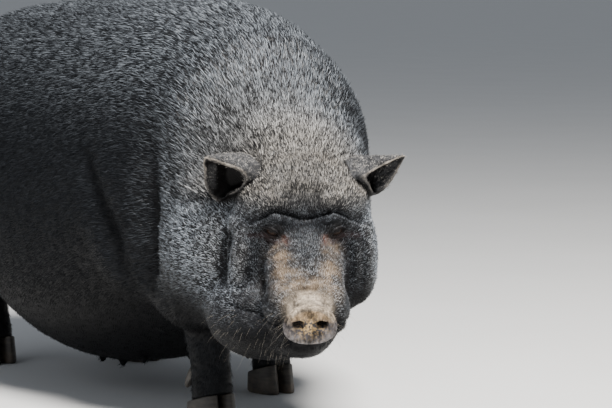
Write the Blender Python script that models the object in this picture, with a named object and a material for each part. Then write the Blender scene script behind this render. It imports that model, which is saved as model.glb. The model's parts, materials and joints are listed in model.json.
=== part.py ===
"""A standing pot-bellied sow, life size, as a still museum model.

Metres, +Z up. The trunk lies along Y with its rump at +Y.
The animal faces -Y, so its right side is at -X.
The head is turned to the animal's right. The flesh is built up as overlapping forms, fused and smoothed,
and then parted into head, snout, jaw, neck, torso and legs by thin cuts.
"""

import math

import bmesh
import bpy
import numpy as np
from mathutils import Euler, Matrix, Vector
from mathutils.bvhtree import BVHTree

# Driving dimensions of the animal
BACK_HEIGHT = 0.537
BELLY_CLEARANCE = 0.035
TRUNK_FRONT = -0.410
TRUNK_BACK = 0.430
FRONT_RIGHT_FOOT = (-0.092, -0.335)
FRONT_LEFT_FOOT = (0.102, -0.175)
HIND_RIGHT_FOOT = (-0.090, 0.270)
HIND_LEFT_FOOT = (0.098, 0.175)
FRONT_LEG_TOP = 0.112
HIND_LEG_TOP = 0.125
HEAD_AT = Vector((-0.106, -0.561, 0.262))
HEAD_TURN = -30.0
NOSE_AT = Vector((0, -0.102, -0.097))
NOSE_DROP = 27.0
NOSE_HALF_WIDTH = 0.0308
NOSE_HALF_HEIGHT = 0.0262
NOSE_DEPTH = 0.014
NOSTRIL_OUT = 0.0135
EYE_AT = Vector((0.0344, 0, 0.0045))
EYE_RADIUS = 0.0112
EYE_OUTWARD = 28.0
EYE_DEPTH = 0.0115
LID_THICK = 0.0024
EAR_ROOT = 0.024
EAR_BASE_RIGHT = (-0.066, 0.062, 0.067)
EAR_RIM_RIGHT = [
    (-0.1175, 0.020, 0.0885), (-0.0930, 0.012, 0.0815), (-0.0740, 0.010, 0.0745), (-0.0660, 0.016, 0.0620),
    (-0.0730, 0.026, 0.0490), (-0.0870, 0.040, 0.0410), (-0.1000, 0.050, 0.0320), (-0.1110, 0.044, 0.0430),
    (-0.1170, 0.034, 0.0570), (-0.1172, 0.026, 0.0730),
]
EAR_BASE_LEFT = (0.064, 0.072, 0.063)
EAR_RIM_LEFT = [
    (0.1260, 0.058, 0.0875), (0.1070, 0.044, 0.0812), (0.0880, 0.032, 0.0733), (0.0755, 0.028, 0.0660),
    (0.0740, 0.030, 0.0600), (0.0800, 0.042, 0.0520), (0.0880, 0.054, 0.0385), (0.1030, 0.060, 0.0465),
    (0.1145, 0.062, 0.0620), (0.1215, 0.062, 0.0755),
]
HOOF_HEIGHT = 0.034
HOOF_SLOPE = 0.30
HOOF_WIDTH = 0.027
HOOF_HALF_LENGTH = 0.030
TEAT_SPACING = 0.062
GAP = 0.0003

# Sizes of the mesh
CLAY_VOXEL = 0.0042
BODY_TRIANGLES = 4300
FACE_TRIANGLES = 4000

TO_HEAD = Matrix.Translation(HEAD_AT) @ Matrix.Rotation(math.radians(HEAD_TURN), 4, "Z")
TO_NOSE = TO_HEAD @ Matrix.Translation(NOSE_AT) @ Matrix.Rotation(math.radians(NOSE_DROP), 4, "X")
WORLD = Matrix.Identity(4)


def clear_scene():
    for obj in list(bpy.data.objects):
        bpy.data.objects.remove(obj)


def object_from(bm, name):
    """A linked object that holds the bmesh, with its faces pointing out."""
    bmesh.ops.recalc_face_normals(bm, faces=bm.faces)
    mesh = bpy.data.meshes.new(name)
    bm.to_mesh(mesh)
    bm.free()
    obj = bpy.data.objects.new(name, mesh)
    bpy.context.scene.collection.objects.link(obj)
    return obj


def copy_of(obj, name):
    twin = bpy.data.objects.new(name, obj.data.copy())
    bpy.context.scene.collection.objects.link(twin)
    return twin


def apply_modifiers(obj):
    """Replaces the object's mesh by the evaluated one and drops its modifiers."""
    graph = bpy.context.evaluated_depsgraph_get()
    mesh = bpy.data.meshes.new_from_object(obj.evaluated_get(graph))
    obj.modifiers.clear()
    obj.vertex_groups.clear()
    obj.data = mesh


def ellipsoid(clay, centre, radii, turn=(0, 0, 0), frame=WORLD, segments=28):
    """Adds an ellipsoid to the clay. turn is in degrees about X, Y and Z."""
    euler = Euler([math.radians(angle) for angle in turn])
    matrix = frame @ Matrix.LocRotScale(Vector(centre), euler, Vector(radii))
    bmesh.ops.create_uvsphere(
        clay, u_segments=segments, v_segments=segments // 2, radius=1, matrix=matrix
    )


def both_sides(clay, centre, radii, turn=(0, 0, 0), frame=WORLD):
    """The same ellipsoid on the left side and, mirrored, on the right."""
    x, y, z = centre
    ellipsoid(clay, (x, y, z), radii, turn, frame)
    ellipsoid(clay, (-x, y, z), radii, (turn[0], -turn[1], -turn[2]), frame)


def loft(bm, rings):
    """A closed skin over rings of equally many points, with a flat cap at each end."""
    made = [[bm.verts.new(point) for point in ring] for ring in rings]
    for low, high in zip(made, made[1:]):
        for i in range(len(low)):
            j = (i + 1) % len(low)
            bm.faces.new((low[i], low[j], high[j], high[i]))
    bm.faces.new(list(reversed(made[0])))
    bm.faces.new(made[-1])


def smooth_stations(stations, steps):
    """Stations of equally many numbers, joined by a Catmull-Rom curve with this many steps in each gap."""
    keys = np.array(stations, float)
    keys = np.vstack([2 * keys[0] - keys[1], keys, 2 * keys[-1] - keys[-2]])
    found = []
    for a, b, c, d in zip(keys, keys[1:], keys[2:], keys[3:]):
        for t in np.arange(steps) / steps:
            found.append(
                0.5
                * (
                    2 * b
                    + (c - a) * t
                    + (2 * a - 5 * b + 4 * c - d) * t**2
                    + (3 * b - a - 3 * c + d) * t**3
                )
            )
    return [station.tolist() for station in [*found, keys[-2]]]


def circle(segments):
    return [2 * math.pi * i / segments for i in range(segments)]


def rounded(angle, power):
    """Cosine and sine of the angle on a superellipse of this power."""
    c, s = math.cos(angle), math.sin(angle)
    return (
        math.copysign(abs(c) ** (2 / power), c),
        math.copysign(abs(s) ** (2 / power), s),
    )


def limb(clay, stations, steps=4, segments=24):
    """A tube through stations of centre x, y, z and the half sizes across and along, in level rings."""
    rings = []
    for x, y, z, w, d in smooth_stations(stations, steps):
        rings.append([Vector((x + w * math.cos(a), y + d * math.sin(a), z)) for a in circle(segments)])
    loft(clay, rings)


def spindle(clay, stations, power=2.3, steps=5, segments=28, frame=TO_HEAD):
    """A tube through stations of y, z, half width, half height and the lean of the ring in degrees."""
    rings = []
    for y, z, w, h, lean in smooth_stations(stations, steps):
        tip = Matrix.Rotation(math.radians(lean), 3, "X")
        ring = []
        for c, s in (rounded(a, power) for a in circle(segments)):
            ring.append(frame @ (Vector((0, y, z)) + tip @ Vector((w * c, 0, h * s))))
        rings.append(ring)
    loft(clay, rings)


def trunk(clay):
    """The barrel in rings across Y: y, middle, half width, top, bottom and the height of the widest place."""
    stations = [
        (TRUNK_BACK, 0.000, 0.040, 0.400, 0.310, 0.355),
        (0.415, 0.000, 0.100, 0.448, 0.240, 0.345),
        (0.370, 0.000, 0.155, 0.497, 0.185, 0.335),
        (0.300, 0.000, 0.190, 0.520, 0.165, 0.310),
        (0.250, 0.000, 0.204, 0.526, 0.128, 0.295),
        (0.185, 0.000, 0.218, 0.530, 0.086, 0.278),
        (0.110, 0.000, 0.229, 0.533, 0.058, 0.260),
        (0.035, 0.000, 0.233, 0.535, BELLY_CLEARANCE, 0.250),
        (-0.050, 0.000, 0.230, 0.536, BELLY_CLEARANCE, 0.254),
        (-0.140, -0.004, 0.216, BACK_HEIGHT, 0.058, 0.270),
        (-0.230, -0.011, 0.199, 0.535, 0.095, 0.290),
        (-0.310, -0.019, 0.178, 0.520, 0.118, 0.301),
        (-0.375, -0.032, 0.147, 0.488, 0.145, 0.302),
        (TRUNK_FRONT, -0.038, 0.106, 0.438, 0.180, 0.302),
    ]
    rings = []
    for y, middle, half, top, bottom, widest in smooth_stations(stations, 4):
        ring = []
        for angle in circle(40):
            c, s = rounded(angle, 1.95 if angle < math.pi else 2.05)
            reach = top - widest if s > 0 else widest - bottom
            ring.append(Vector((middle + half * c, y, widest + reach * s)))
        rings.append(ring)
    loft(clay, rings)


def shoulders_and_hams(clay):
    ellipsoid(clay, (-0.126, -0.232, 0.315), (0.084, 0.082, 0.175), (-16, 14, 0))
    ellipsoid(clay, (-0.122, -0.310, 0.226), (0.066, 0.062, 0.112), (-20, 6, 0))
    ellipsoid(clay, (0.104, -0.215, 0.300), (0.080, 0.090, 0.165), (-12, -14, 0))
    ellipsoid(clay, (0.114, -0.205, 0.200), (0.062, 0.076, 0.115), (-4, -6, 0))
    both_sides(clay, (0.122, 0.290, 0.300), (0.090, 0.125, 0.165), (0, -8, 0))
    ellipsoid(clay, (-0.120, 0.280, 0.200), (0.066, 0.095, 0.095))
    ellipsoid(clay, (0.122, 0.250, 0.200), (0.066, 0.100, 0.095), (14, 0, 0))


def neck_clay(clay):
    """The neck swings from the trunk to the turned head, with fat rolled up on the inner side of the turn."""
    ellipsoid(clay, (-0.038, -0.350, 0.333), (0.151, 0.131, 0.171), (0, 0, -12))
    ellipsoid(clay, (-0.045, 0.150, -0.025), (0.135, 0.115, 0.125), frame=TO_HEAD)
    ellipsoid(clay, (-0.010, 0.160, 0.060), (0.105, 0.110, 0.085), (-25, 0, 0), frame=TO_HEAD)


def head_clay(clay):
    """Skull, forehead, brows, cheeks and throat, in the head's own frame with its origin between the eyes."""
    ellipsoid(clay, (0, 0.085, 0.020), (0.088, 0.092, 0.080), frame=TO_HEAD)
    ellipsoid(clay, (0, 0.060, -0.040), (0.084, 0.080, 0.080), frame=TO_HEAD)
    both_sides(clay, (0.034, 0.022, 0.038), (0.044, 0.036, 0.026), (20, 6, 12), frame=TO_HEAD)
    both_sides(clay, (0.040, 0.004, 0.014), (0.027, 0.019, 0.014), (0, 8, 24), frame=TO_HEAD)
    ellipsoid(clay, (-0.066, 0.046, -0.040), (0.027, 0.046, 0.074), (13, 0, -12), TO_HEAD)
    ellipsoid(clay, (0.064, 0.042, -0.033), (0.026, 0.046, 0.062), (10, 0, 12), TO_HEAD)
    ellipsoid(clay, (-0.038, 0.055, -0.102), (0.078, 0.085, 0.056), frame=TO_HEAD)
    ellipsoid(clay, (-0.066, 0.044, -0.084), (0.034, 0.046, 0.054), frame=TO_HEAD)


def muzzle(clay):
    """The short snout from between the eyes down to the disc, and the jaw under it."""
    spindle(
        clay,
        [
            (0.034, -0.024, 0.047, 0.052, 45),
            (-0.002, -0.052, 0.049, 0.044, 42),
            (-0.030, -0.074, 0.046, 0.036, 36),
            (-0.056, -0.085, 0.038, 0.0300, 30),
            (-0.076, -0.090, 0.030, 0.0265, 27),
            (-0.098, -0.097, 0.029, 0.0250, 27),
        ],
        power=2.6,
    )
    both_sides(clay, (0.032, -0.034, -0.082), (0.019, 0.036, 0.031), (34, 0, 8), frame=TO_HEAD)
    spindle(
        clay,
        [
            (0.070, -0.098, 0.060, 0.050, 12),
            (0.018, -0.116, 0.046, 0.032, 14),
            (-0.022, -0.124, 0.034, 0.022, 15),
            (-0.046, -0.127, 0.025, 0.016, 17),
            (-0.062, -0.127, 0.017, 0.010, 20),
        ],
        frame=TO_HEAD @ Matrix.Translation((-0.006, 0, 0)),
    )


def feet():
    """Where each foot stands, and whether it is a front one."""
    return {
        "front_right": (FRONT_RIGHT_FOOT, True),
        "front_left": (FRONT_LEFT_FOOT, True),
        "hind_right": (HIND_RIGHT_FOOT, False),
        "hind_left": (HIND_LEFT_FOOT, False),
    }


def leg_clay(clay):
    for (x, y), front in feet().values():
        out = math.copysign(1, x)
        if front:
            back = -0.265 - y
            stations = [
                (0, 0.003, 0.012, 0.0262, 0.0275),
                (0, 0.003, 0.040, 0.0262, 0.0275),
                (0, 0.006, 0.070, 0.0245, 0.0265),
                (0, 0.006 + 0.10 * back, 0.100, 0.0285, 0.0310),
                (0.002, 0.006 + 0.25 * back, 0.145, 0.0330, 0.0380),
                (0.006, 0.014 + 0.50 * back, 0.190, 0.0430, 0.0520),
                (0.010, 0.024 + 0.80 * back, 0.240, 0.0550, 0.0700),
            ]
        else:
            back = 0.285 - y
            stations = [
                (0, 0.003, 0.012, 0.0255, 0.0268),
                (0, 0.004, 0.040, 0.0255, 0.0268),
                (0, 0.012 + 0.05 * back, 0.075, 0.0240, 0.0265),
                (0, 0.020 + 0.15 * back, 0.108, 0.0260, 0.0310),
                (0.002, 0.024 + 0.30 * back, 0.148, 0.0310, 0.0410),
                (0.008, 0.010 + 0.60 * back, 0.195, 0.0430, 0.0620),
                (0.012, 0.000 + 0.90 * back, 0.245, 0.0560, 0.0850),
            ]
        limb(clay, [(x + out * dx, y + dy, z, w, d) for dx, dy, z, w, d in stations])


def coordinates(obj):
    points = np.empty(len(obj.data.vertices) * 3)
    obj.data.vertices.foreach_get("co", points)
    return points.reshape(-1, 3)


def in_head(points):
    """The same points in the head's own frame."""
    return (points - np.array(HEAD_AT)) @ np.array(TO_HEAD.to_3x3())


def weigh(obj, name, weights):
    """A vertex group from one weight for each vertex, in steps of a twentieth."""
    group = obj.vertex_groups.new(name=name)
    steps = np.round(np.clip(weights, 0, 1) * 20).astype(int)
    for level in range(1, 21):
        group.add(np.flatnonzero(steps == level).tolist(), level / 20, "REPLACE")
    return group.name


def soften(body):
    """Smooths the flesh: much on the trunk and neck, little on the face and legs."""
    points = coordinates(body)
    face = np.clip((0.13 - in_head(points)[:, 1]) / 0.08, 0, 1)
    low = np.clip((0.17 - points[:, 2]) / 0.06, 0, 1) * (points[:, 1] > -0.45)
    outer = np.clip((np.abs(points[:, 0]) - 0.02) / 0.04, 0, 1)
    smooth = body.modifiers.new("smooth", "SMOOTH")
    smooth.factor = 0.6
    smooth.iterations = 190
    smooth.vertex_group = weigh(body, "soft", 1 - np.maximum(0.9 * face, 0.9 * low * outer))
    apply_modifiers(body)


def press(body, frame, strokes, reach, taper=5.0):
    """Presses strokes into the flesh as seen along a frame's +Y: points of x and z, width and depth.

    A stroke grows shallow toward its ends.
    """
    points = coordinates(body)
    turn = np.array(frame.to_3x3())
    local = (points - np.array(frame.translation)) @ turn
    normals = np.empty(len(points) * 3)
    body.data.vertices.foreach_get("normal", normals)
    normals = normals.reshape(-1, 3)
    ahead = -(normals @ turn)[:, 1]
    seen = np.clip((ahead + 0.1) / 0.3, 0, 1) * np.clip((reach - local[:, 1]) / 0.03, 0, 1)
    push = np.zeros(len(points))
    flat = local[:, [0, 2]]
    for path, width, depth in strokes:
        near = np.full(len(points), 9.0)
        share = np.zeros(len(points))
        ends = np.array(path)
        for i, (a, b) in enumerate(zip(ends, ends[1:])):
            along = np.clip(((flat - a) @ (b - a)) / ((b - a) @ (b - a)), 0, 1)
            away = np.linalg.norm(flat - (a + along[:, None] * (b - a)), axis=1)
            share = np.where(away < near, (i + along) / (len(ends) - 1), share)
            near = np.minimum(near, away)
        fade = np.clip(taper * np.minimum(share, 1 - share) + 0.1, 0, 1)
        push += depth * fade * np.exp(-((near / width) ** 2))
    points -= normals * (push * seen)[:, None]
    body.data.vertices.foreach_set("co", points.ravel())
    body.data.update()


def mirrored(strokes):
    """The strokes and their mirror images."""
    return strokes + [([(-x, z) for x, z in path], width, depth) for path, width, depth in strokes]


def press_face(body):
    """Folds of the face as drawn from in front, and the line of the mouth as drawn from each side."""
    grooves = [
        ([(0.050, -0.008), (0.052, -0.045), (0.050, -0.078)], 0.008, 0.006),
        ([(0.088, 0.010), (0.089, -0.030), (0.087, -0.055)], 0.009, 0.004),
        ([(0.000, 0.022), (0.018, 0.028), (0.038, 0.027), (0.062, 0.018), (0.078, 0.012)], 0.005, 0.0045),
        ([(0.000, 0.047), (0.020, 0.050), (0.036, 0.046)], 0.007, 0.004),
        ([(0.022, -0.004), (0.036, -0.009), (0.052, -0.007)], 0.005, 0.003),
        ([(0.020, -0.066), (0.0245, -0.076), (0.031, -0.092)], 0.005, 0.003),
    ]
    press(body, TO_HEAD, mirrored(grooves), 0.14)
    press(body, TO_HEAD, [([(-0.016, -0.059), (0.016, -0.059)], 0.004, 0.003)], 0.14)
    for side in (-1, 1):
        view = TO_HEAD @ Matrix.Rotation(math.radians(side * 90), 4, "Z")
        mouth = [(0.004, -0.083), (-0.020, -0.090), (-0.045, -0.098), (-0.075, -0.110)]
        press(body, view, [([(side * y, z) for y, z in mouth], 0.005, 0.004)], 0.0)


def press_shoulders(body):
    """The folds before and behind each shoulder, as drawn from the side: points of y and z."""
    before = [(-0.325, 0.410), (-0.340, 0.340), (-0.343, 0.226), (-0.325, 0.190), (-0.330, 0.145)]
    behind = [(-0.165, 0.400), (-0.225, 0.310), (-0.270, 0.246), (-0.284, 0.196), (-0.300, 0.165)]
    flank = [(0.150, 0.330), (0.172, 0.260), (0.175, 0.190), (0.195, 0.140)]
    for side, back, share in ((-1, 0.0, 1.0), (1, 0.055, 0.65)):
        view = Matrix.Rotation(math.radians(side * 90), 4, "Z")
        drawn = [([(side * (y + back), z) for y, z in before], 0.019, 0.016 * share)]
        drawn.append(([(side * (y + 1.4 * back), z) for y, z in behind], 0.020, 0.015 * share))
        drawn.append(([(side * (y - back), z) for y, z in flank], 0.026, 0.007))
        press(body, view, drawn, 0.0, 1.9)


def thin(body, chosen, triangles):
    """Reduces the chosen part of the surface to about this many triangles and leaves the rest."""
    body.data.calc_loop_triangles()
    corners = np.empty(len(body.data.loop_triangles) * 3, int)
    body.data.loop_triangles.foreach_get("vertices", corners)
    inside = int(chosen[corners.reshape(-1, 3)].all(axis=1).sum())
    total = len(body.data.loop_triangles)
    tool = body.modifiers.new("thin", "DECIMATE")
    tool.ratio = (total - inside + triangles) / total
    tool.vertex_group = weigh(body, "chosen", chosen.astype(float))
    tool.vertex_group_factor = 1000
    apply_modifiers(body)


def flesh():
    """All the forms of flesh fused into one closed surface."""
    clay = bmesh.new()
    trunk(clay)
    shoulders_and_hams(clay)
    neck_clay(clay)
    head_clay(clay)
    muzzle(clay)
    leg_clay(clay)
    body = object_from(clay, "torso")
    fuse = body.modifiers.new("fuse", "REMESH")
    fuse.mode = "VOXEL"
    fuse.voxel_size = CLAY_VOXEL
    apply_modifiers(body)
    soften(body)
    press_shoulders(body)
    press_face(body)
    thin(body, in_head(coordinates(body))[:, 1] > 0.09, BODY_TRIANGLES)
    thin(body, in_head(coordinates(body))[:, 1] <= 0.09, FACE_TRIANGLES)
    return body


def box(low, high, frame=WORLD, grow=0.0):
    """A box between two corners in a frame, grown on every side."""
    bm = bmesh.new()
    low = Vector(low) - Vector((grow, grow, grow))
    high = Vector(high) + Vector((grow, grow, grow))
    centre = (low + high) / 2
    matrix = frame @ Matrix.LocRotScale(centre, None, high - low)
    bmesh.ops.create_cube(bm, size=1, matrix=matrix)
    return object_from(bm, "cutter")


def post(x, y, low, high, radii, grow=0.0):
    """An upright elliptical cutter."""
    bm = bmesh.new()
    rings = []
    for z in (low - grow, high + grow):
        rings.append(
            [
                Vector((x + (radii[0] + grow) * math.cos(a), y + (radii[1] + grow) * math.sin(a), z))
                for a in circle(24)
            ]
        )
    loft(bm, rings)
    return object_from(bm, "cutter")


def boolean(target, cutter, operation):
    """Applies a Boolean to the target and removes the cutter."""
    tool = target.modifiers.new(operation.lower(), "BOOLEAN")
    tool.operation = operation
    tool.solver = "EXACT"
    tool.object = cutter
    apply_modifiers(target)
    bpy.data.objects.remove(cutter)


def unite(target, pieces):
    """Joins closed pieces to the target in one Boolean."""
    group = bpy.data.collections.new("pieces")
    for piece in pieces:
        group.objects.link(piece)
    tool = target.modifiers.new("join", "BOOLEAN")
    tool.operation = "UNION"
    tool.solver = "EXACT"
    tool.operand_type = "COLLECTION"
    tool.collection = group
    apply_modifiers(target)
    for piece in pieces:
        bpy.data.objects.remove(piece)
    bpy.data.collections.remove(group)
    keep_largest(target)


def keep_largest(obj):
    """Drops every closed surface of the object but the one with the most faces."""
    bm = bmesh.new()
    bm.from_mesh(obj.data)
    left = set(bm.faces)
    shells = []
    while left:
        shell = set()
        reach = [left.pop()]
        while reach:
            face = reach.pop()
            shell.add(face)
            for edge in face.edges:
                for other in edge.link_faces:
                    if other in left:
                        left.discard(other)
                        reach.append(other)
        shells.append(shell)
    shells.sort(key=len)
    for shell in shells[:-1]:
        bmesh.ops.delete(bm, geom=list(shell), context="FACES")
    bm.to_mesh(obj.data)
    bm.free()


def part_off(body, name, cutter):
    """Takes what lies inside a cutter off the body as a node of its own.

    cutter makes the shape, grown by a size.
    """
    part = copy_of(body, name)
    boolean(part, cutter(-GAP / 2), "INTERSECT")
    boolean(body, cutter(GAP / 2), "DIFFERENCE")
    keep_largest(part)
    keep_largest(body)
    return part


def fit_on(part, body):
    """Cuts the body, grown by the gap, out of a part that is rooted in it."""
    grown = copy_of(body, "cutter")
    swell = grown.modifiers.new("swell", "DISPLACE")
    swell.strength = GAP
    swell.mid_level = 0
    apply_modifiers(grown)
    boolean(part, grown, "DIFFERENCE")
    keep_largest(part)


def part_legs(body):
    legs = {}
    for name, ((x, y), front) in feet().items():
        top = FRONT_LEG_TOP if front else HIND_LEG_TOP
        middle = y + (0.006 if front else 0.016)
        legs[name] = part_off(
            body, "leg_" + name, lambda grow: post(x, middle, -0.05, top, (0.044, 0.054), grow)
        )
        slope = Matrix.Rotation(-math.atan(HOOF_SLOPE), 4, "X")
        sole = Matrix.Translation((x, y, HOOF_HEIGHT + GAP)) @ slope
        boolean(legs[name], box((-0.1, -0.1, -0.1), (0.1, 0.1, 0), sole), "DIFFERENCE")
    return legs


def part_head(body):
    """Head, jaw and neck, each taken off what is left of the body."""
    head = part_off(
        body, "head", lambda grow: box((-0.35, -0.35, -0.35), (0.35, 0.115, 0.35), TO_HEAD, grow)
    )
    lips = TO_HEAD @ Matrix.Translation((0, -0.015, -0.088)) @ Matrix.Rotation(math.radians(20), 4, "X")
    jaw = part_off(
        head, "lower_jaw", lambda grow: box((-0.2, -0.3, -0.2), (0.2, 0.022, 0), lips, grow)
    )
    for piece in (head, jaw):
        boolean(piece, box((-0.2, -0.1, -0.2), (0.2, NOSE_DEPTH + GAP, 0.2), TO_NOSE), "DIFFERENCE")
        keep_largest(piece)
    collar = Matrix.Translation((-0.030, -0.350, 0)) @ Matrix.Rotation(math.radians(-14), 4, "Z")
    neck = part_off(body, "neck", lambda grow: box((-0.4, -0.4, 0.02), (0.4, 0, 0.7), collar, grow))
    return head, jaw, neck


def make_snout():
    """The flat disc of the nose with its rim and two nostrils."""
    bm = bmesh.new()
    rings = []
    for depth, share in [
        (NOSE_DEPTH, 0.88),
        (NOSE_DEPTH * 0.72, 0.92),
        (NOSE_DEPTH * 0.45, 0.985),
        (NOSE_DEPTH * 0.25, 1.0),
        (NOSE_DEPTH * 0.08, 0.97),
        (0.0, 0.88),
        (0.0003, 0.70),
        (0.0012, 0.35),
    ]:
        ring = []
        for c, s in (rounded(a, 2.2) for a in circle(28)):
            narrow = 1 - 0.10 * s
            x = NOSE_HALF_WIDTH * share * c * narrow
            ring.append(TO_NOSE @ Vector((x, depth, NOSE_HALF_HEIGHT * share * s)))
        rings.append(ring)
    loft(bm, rings)
    snout = object_from(bm, "snout")
    for side in (-1, 1):
        hole = bmesh.new()
        ellipsoid(
            hole, (side * NOSTRIL_OUT, 0.001, 0.001), (0.0062, 0.0095, 0.0050), (12, side * 18, side * 14),
            TO_NOSE, 12,
        )
        boolean(snout, object_from(hole, "cutter"), "DIFFERENCE")
    return snout


def make_eye(head, name, side):
    """An eyeball in a dome of lids, with the slit between them cut through to it."""
    tree = BVHTree.FromObject(head, bpy.context.evaluated_depsgraph_get())
    ahead = TO_HEAD.to_3x3() @ Vector((0, 1, 0))
    skin = tree.ray_cast(TO_HEAD @ Vector((side * EYE_AT.x, -0.2, EYE_AT.z)), ahead)[0]
    outward = Matrix.Rotation(math.radians(side * EYE_OUTWARD), 3, "Z") @ Vector((0, -1, -0.06))
    look = (TO_HEAD.to_3x3() @ outward).normalized()
    turn = look.to_track_quat("-Y", "Z").to_matrix().to_4x4()
    place = Matrix.Translation(skin + ahead * EYE_DEPTH) @ turn
    room = EYE_RADIUS + GAP
    ball, socket, lids, slit = [bmesh.new() for _ in range(4)]
    ellipsoid(ball, (0, 0, 0), (EYE_RADIUS, EYE_RADIUS, EYE_RADIUS), (90, 0, 0), place, 18)
    ellipsoid(socket, (0, 0, 0), (room, room, room), (90, 0, 0), place, 20)
    dome = EYE_RADIUS + LID_THICK
    ellipsoid(lids, (0, 0.001, 0), (dome + 0.002, dome, dome),
              (0, -side * 14, 0), place, 22)
    ellipsoid(slit, (0, -EYE_RADIUS, -0.001), (0.0092, 0.012, 0.0038), (0, -side * 14, 0), place, 16)
    unite(head, [object_from(lids, "lids")])
    opening = object_from(socket, "cutter")
    boolean(opening, object_from(slit, "slit"), "UNION")
    boolean(head, opening, "DIFFERENCE")
    keep_largest(head)
    return object_from(ball, name)


def closed_curve(points, steps):
    """A smooth closed curve through the points, with so many steps between neighbours."""
    curve = []
    count = len(points)
    for i in range(count):
        a, b, c, d = (Vector(points[(i + k) % count]) for k in (-1, 0, 1, 2))
        for j in range(steps):
            t = j / steps
            curve.append(
                0.5
                * (
                    2 * b
                    + (c - a) * t
                    + (2 * a - 5 * b + 4 * c - d) * t**2
                    + (3 * b - a - 3 * c + d) * t**3
                )
            )
    return curve


def make_ear(head, name, base, rim):
    """A pointed ear: a short funnel that opens from its root in the head to the rim round its mouth."""
    root = Vector(base)
    mouth = closed_curve(rim, 2)
    middle = sum(mouth, Vector()) / len(mouth)
    axis = (middle - root).normalized()
    foot = []
    for point in mouth:
        out = point - middle
        foot.append(root + EAR_ROOT * (out - axis * out.dot(axis)).normalized())

    def ring(share, size):
        return [TO_HEAD @ (low.lerp(high, share) * size + root.lerp(middle, share) * (1 - size))
                for low, high in zip(foot, mouth)]

    rings = [ring(0.00, 1.00), ring(0.45, 1.10), ring(0.78, 1.06), ring(1.00, 1.00)]
    rings += [ring(0.99, 0.86), ring(0.70, 0.78), ring(0.42, 0.55)]
    bm = bmesh.new()
    loft(bm, rings)
    ear = object_from(bm, name)
    fit_on(ear, head)
    return ear


def make_hoof(name, x, y, side):
    """One toe of a cloven foot: flat below, curved outside, straight against its neighbour."""
    outline = [
        (0.04, 0.90), (0.00, 0.50), (0.00, 0.00), (0.03, -0.50), (0.15, -0.85), (0.36, -1.00), (0.60, -0.90),
        (0.82, -0.62), (0.95, -0.20), (1.00, 0.20), (0.97, 0.60), (0.85, 0.88), (0.60, 1.00), (0.30, 1.00),
    ]
    rings = []
    for rise in (0.0, 0.12, 0.55, 1.0):
        ring = []
        for across, along in outline:
            u = 0.0014 + HOOF_WIDTH * (0.5 + (across - 0.5) * (1 - 0.07 * rise - 0.05 * (rise == 0)))
            v = HOOF_HALF_LENGTH * along * (1 - 0.13 * rise - 0.04 * (rise == 0)) + 0.003 * rise
            ring.append(Vector((x + side * u, y + v, rise * (HOOF_HEIGHT - HOOF_SLOPE * v))))
        rings.append(ring)
    bm = bmesh.new()
    loft(bm, rings)
    return object_from(bm, name)


def make_dewclaw(leg, name, x, y, side):
    """A small claw behind the pastern."""
    bm = bmesh.new()
    rings = []
    for t, radius in [(0.0, 0.0070), (0.35, 0.0075), (0.75, 0.0062), (1.0, 0.0030)]:
        middle = Vector((x + side * (0.012 + 0.003 * t), y + 0.020 + 0.020 * t, 0.070 - 0.026 * t))
        ring = []
        for a in circle(8):
            c, s = math.cos(a), math.sin(a)
            ring.append(middle + radius * Vector((c, 0.6 * s, 0.8 * s)))
        rings.append(ring)
    loft(bm, rings)
    claw = object_from(bm, name)
    fit_on(claw, leg)
    return claw


def tube(bm, path, segments):
    """A closed tube through stations of x, y, z and radius, on a path that stays near an upright plane."""
    rings = []
    for i, (x, y, z, radius) in enumerate(path):
        before, after = Vector(path[max(i - 1, 0)][:3]), Vector(path[min(i + 1, len(path) - 1)][:3])
        ahead = (after - before).normalized()
        aside = Vector((1, 0, 0))
        aside = (aside - ahead * aside.dot(ahead)).normalized()
        third = ahead.cross(aside)
        ring = []
        for a in circle(segments):
            ring.append(Vector((x, y, z)) + radius * (aside * math.cos(a) + third * math.sin(a)))
        rings.append(ring)
    loft(bm, rings)


def make_tail(torso):
    """A straight hanging tail that ends in a tassel of locks."""
    stations = [
        (0.000, 0.395, 0.428, 0.0150),
        (0.000, 0.428, 0.424, 0.0140),
        (0.002, 0.452, 0.400, 0.0120),
        (0.006, 0.462, 0.355, 0.0100),
        (0.012, 0.462, 0.300, 0.0080),
        (0.018, 0.456, 0.250, 0.0058),
        (0.020, 0.453, 0.232, 0.0035),
    ]
    path = [tuple(station) for station in smooth_stations(stations, 3)]
    bm = bmesh.new()
    tube(bm, path, 10)
    tail = object_from(bm, "tail")
    locks = []
    for i in range(12):
        turn = 2.4 * i
        root = path[-2 - i // 2]
        away = Vector((math.cos(turn), 0.8 * math.sin(turn), 0))
        start = Vector(root[:3])
        drop = 0.050 + 0.004 * (i % 4)
        stations = []
        for t, width in [(0, 0.0035), (0.3, 0.0046), (0.7, 0.0036), (1, 0.0008)]:
            point = start + away * (0.012 * t) + Vector((0.004 * t, -0.004 * t, -drop * t))
            stations.append((*point, width))
        piece = bmesh.new()
        tube(piece, stations, 4)
        locks.append(object_from(piece, "lock"))
    unite(tail, locks)
    fit_on(tail, torso)
    return tail


def add_teats(torso):
    """Two rows of teats along the belly, each rooted in the skin right above it."""
    tree = BVHTree.FromObject(torso, bpy.context.evaluated_depsgraph_get())
    teats = []
    for side in (-1, 1):
        for i in range(6):
            x = side * (0.042 + 0.003 * i)
            y = 0.208 - TEAT_SPACING * i
            skin = tree.ray_cast(Vector((x, y, 0.001)), Vector((0, 0, 1)))[0]
            if skin is None:
                continue
            bm = bmesh.new()
            ellipsoid(bm, (x, y, skin.z - 0.003), (0.0052, 0.0052, 0.0085), segments=8)
            teats.append(object_from(bm, "teat"))
    unite(torso, teats)


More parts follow.
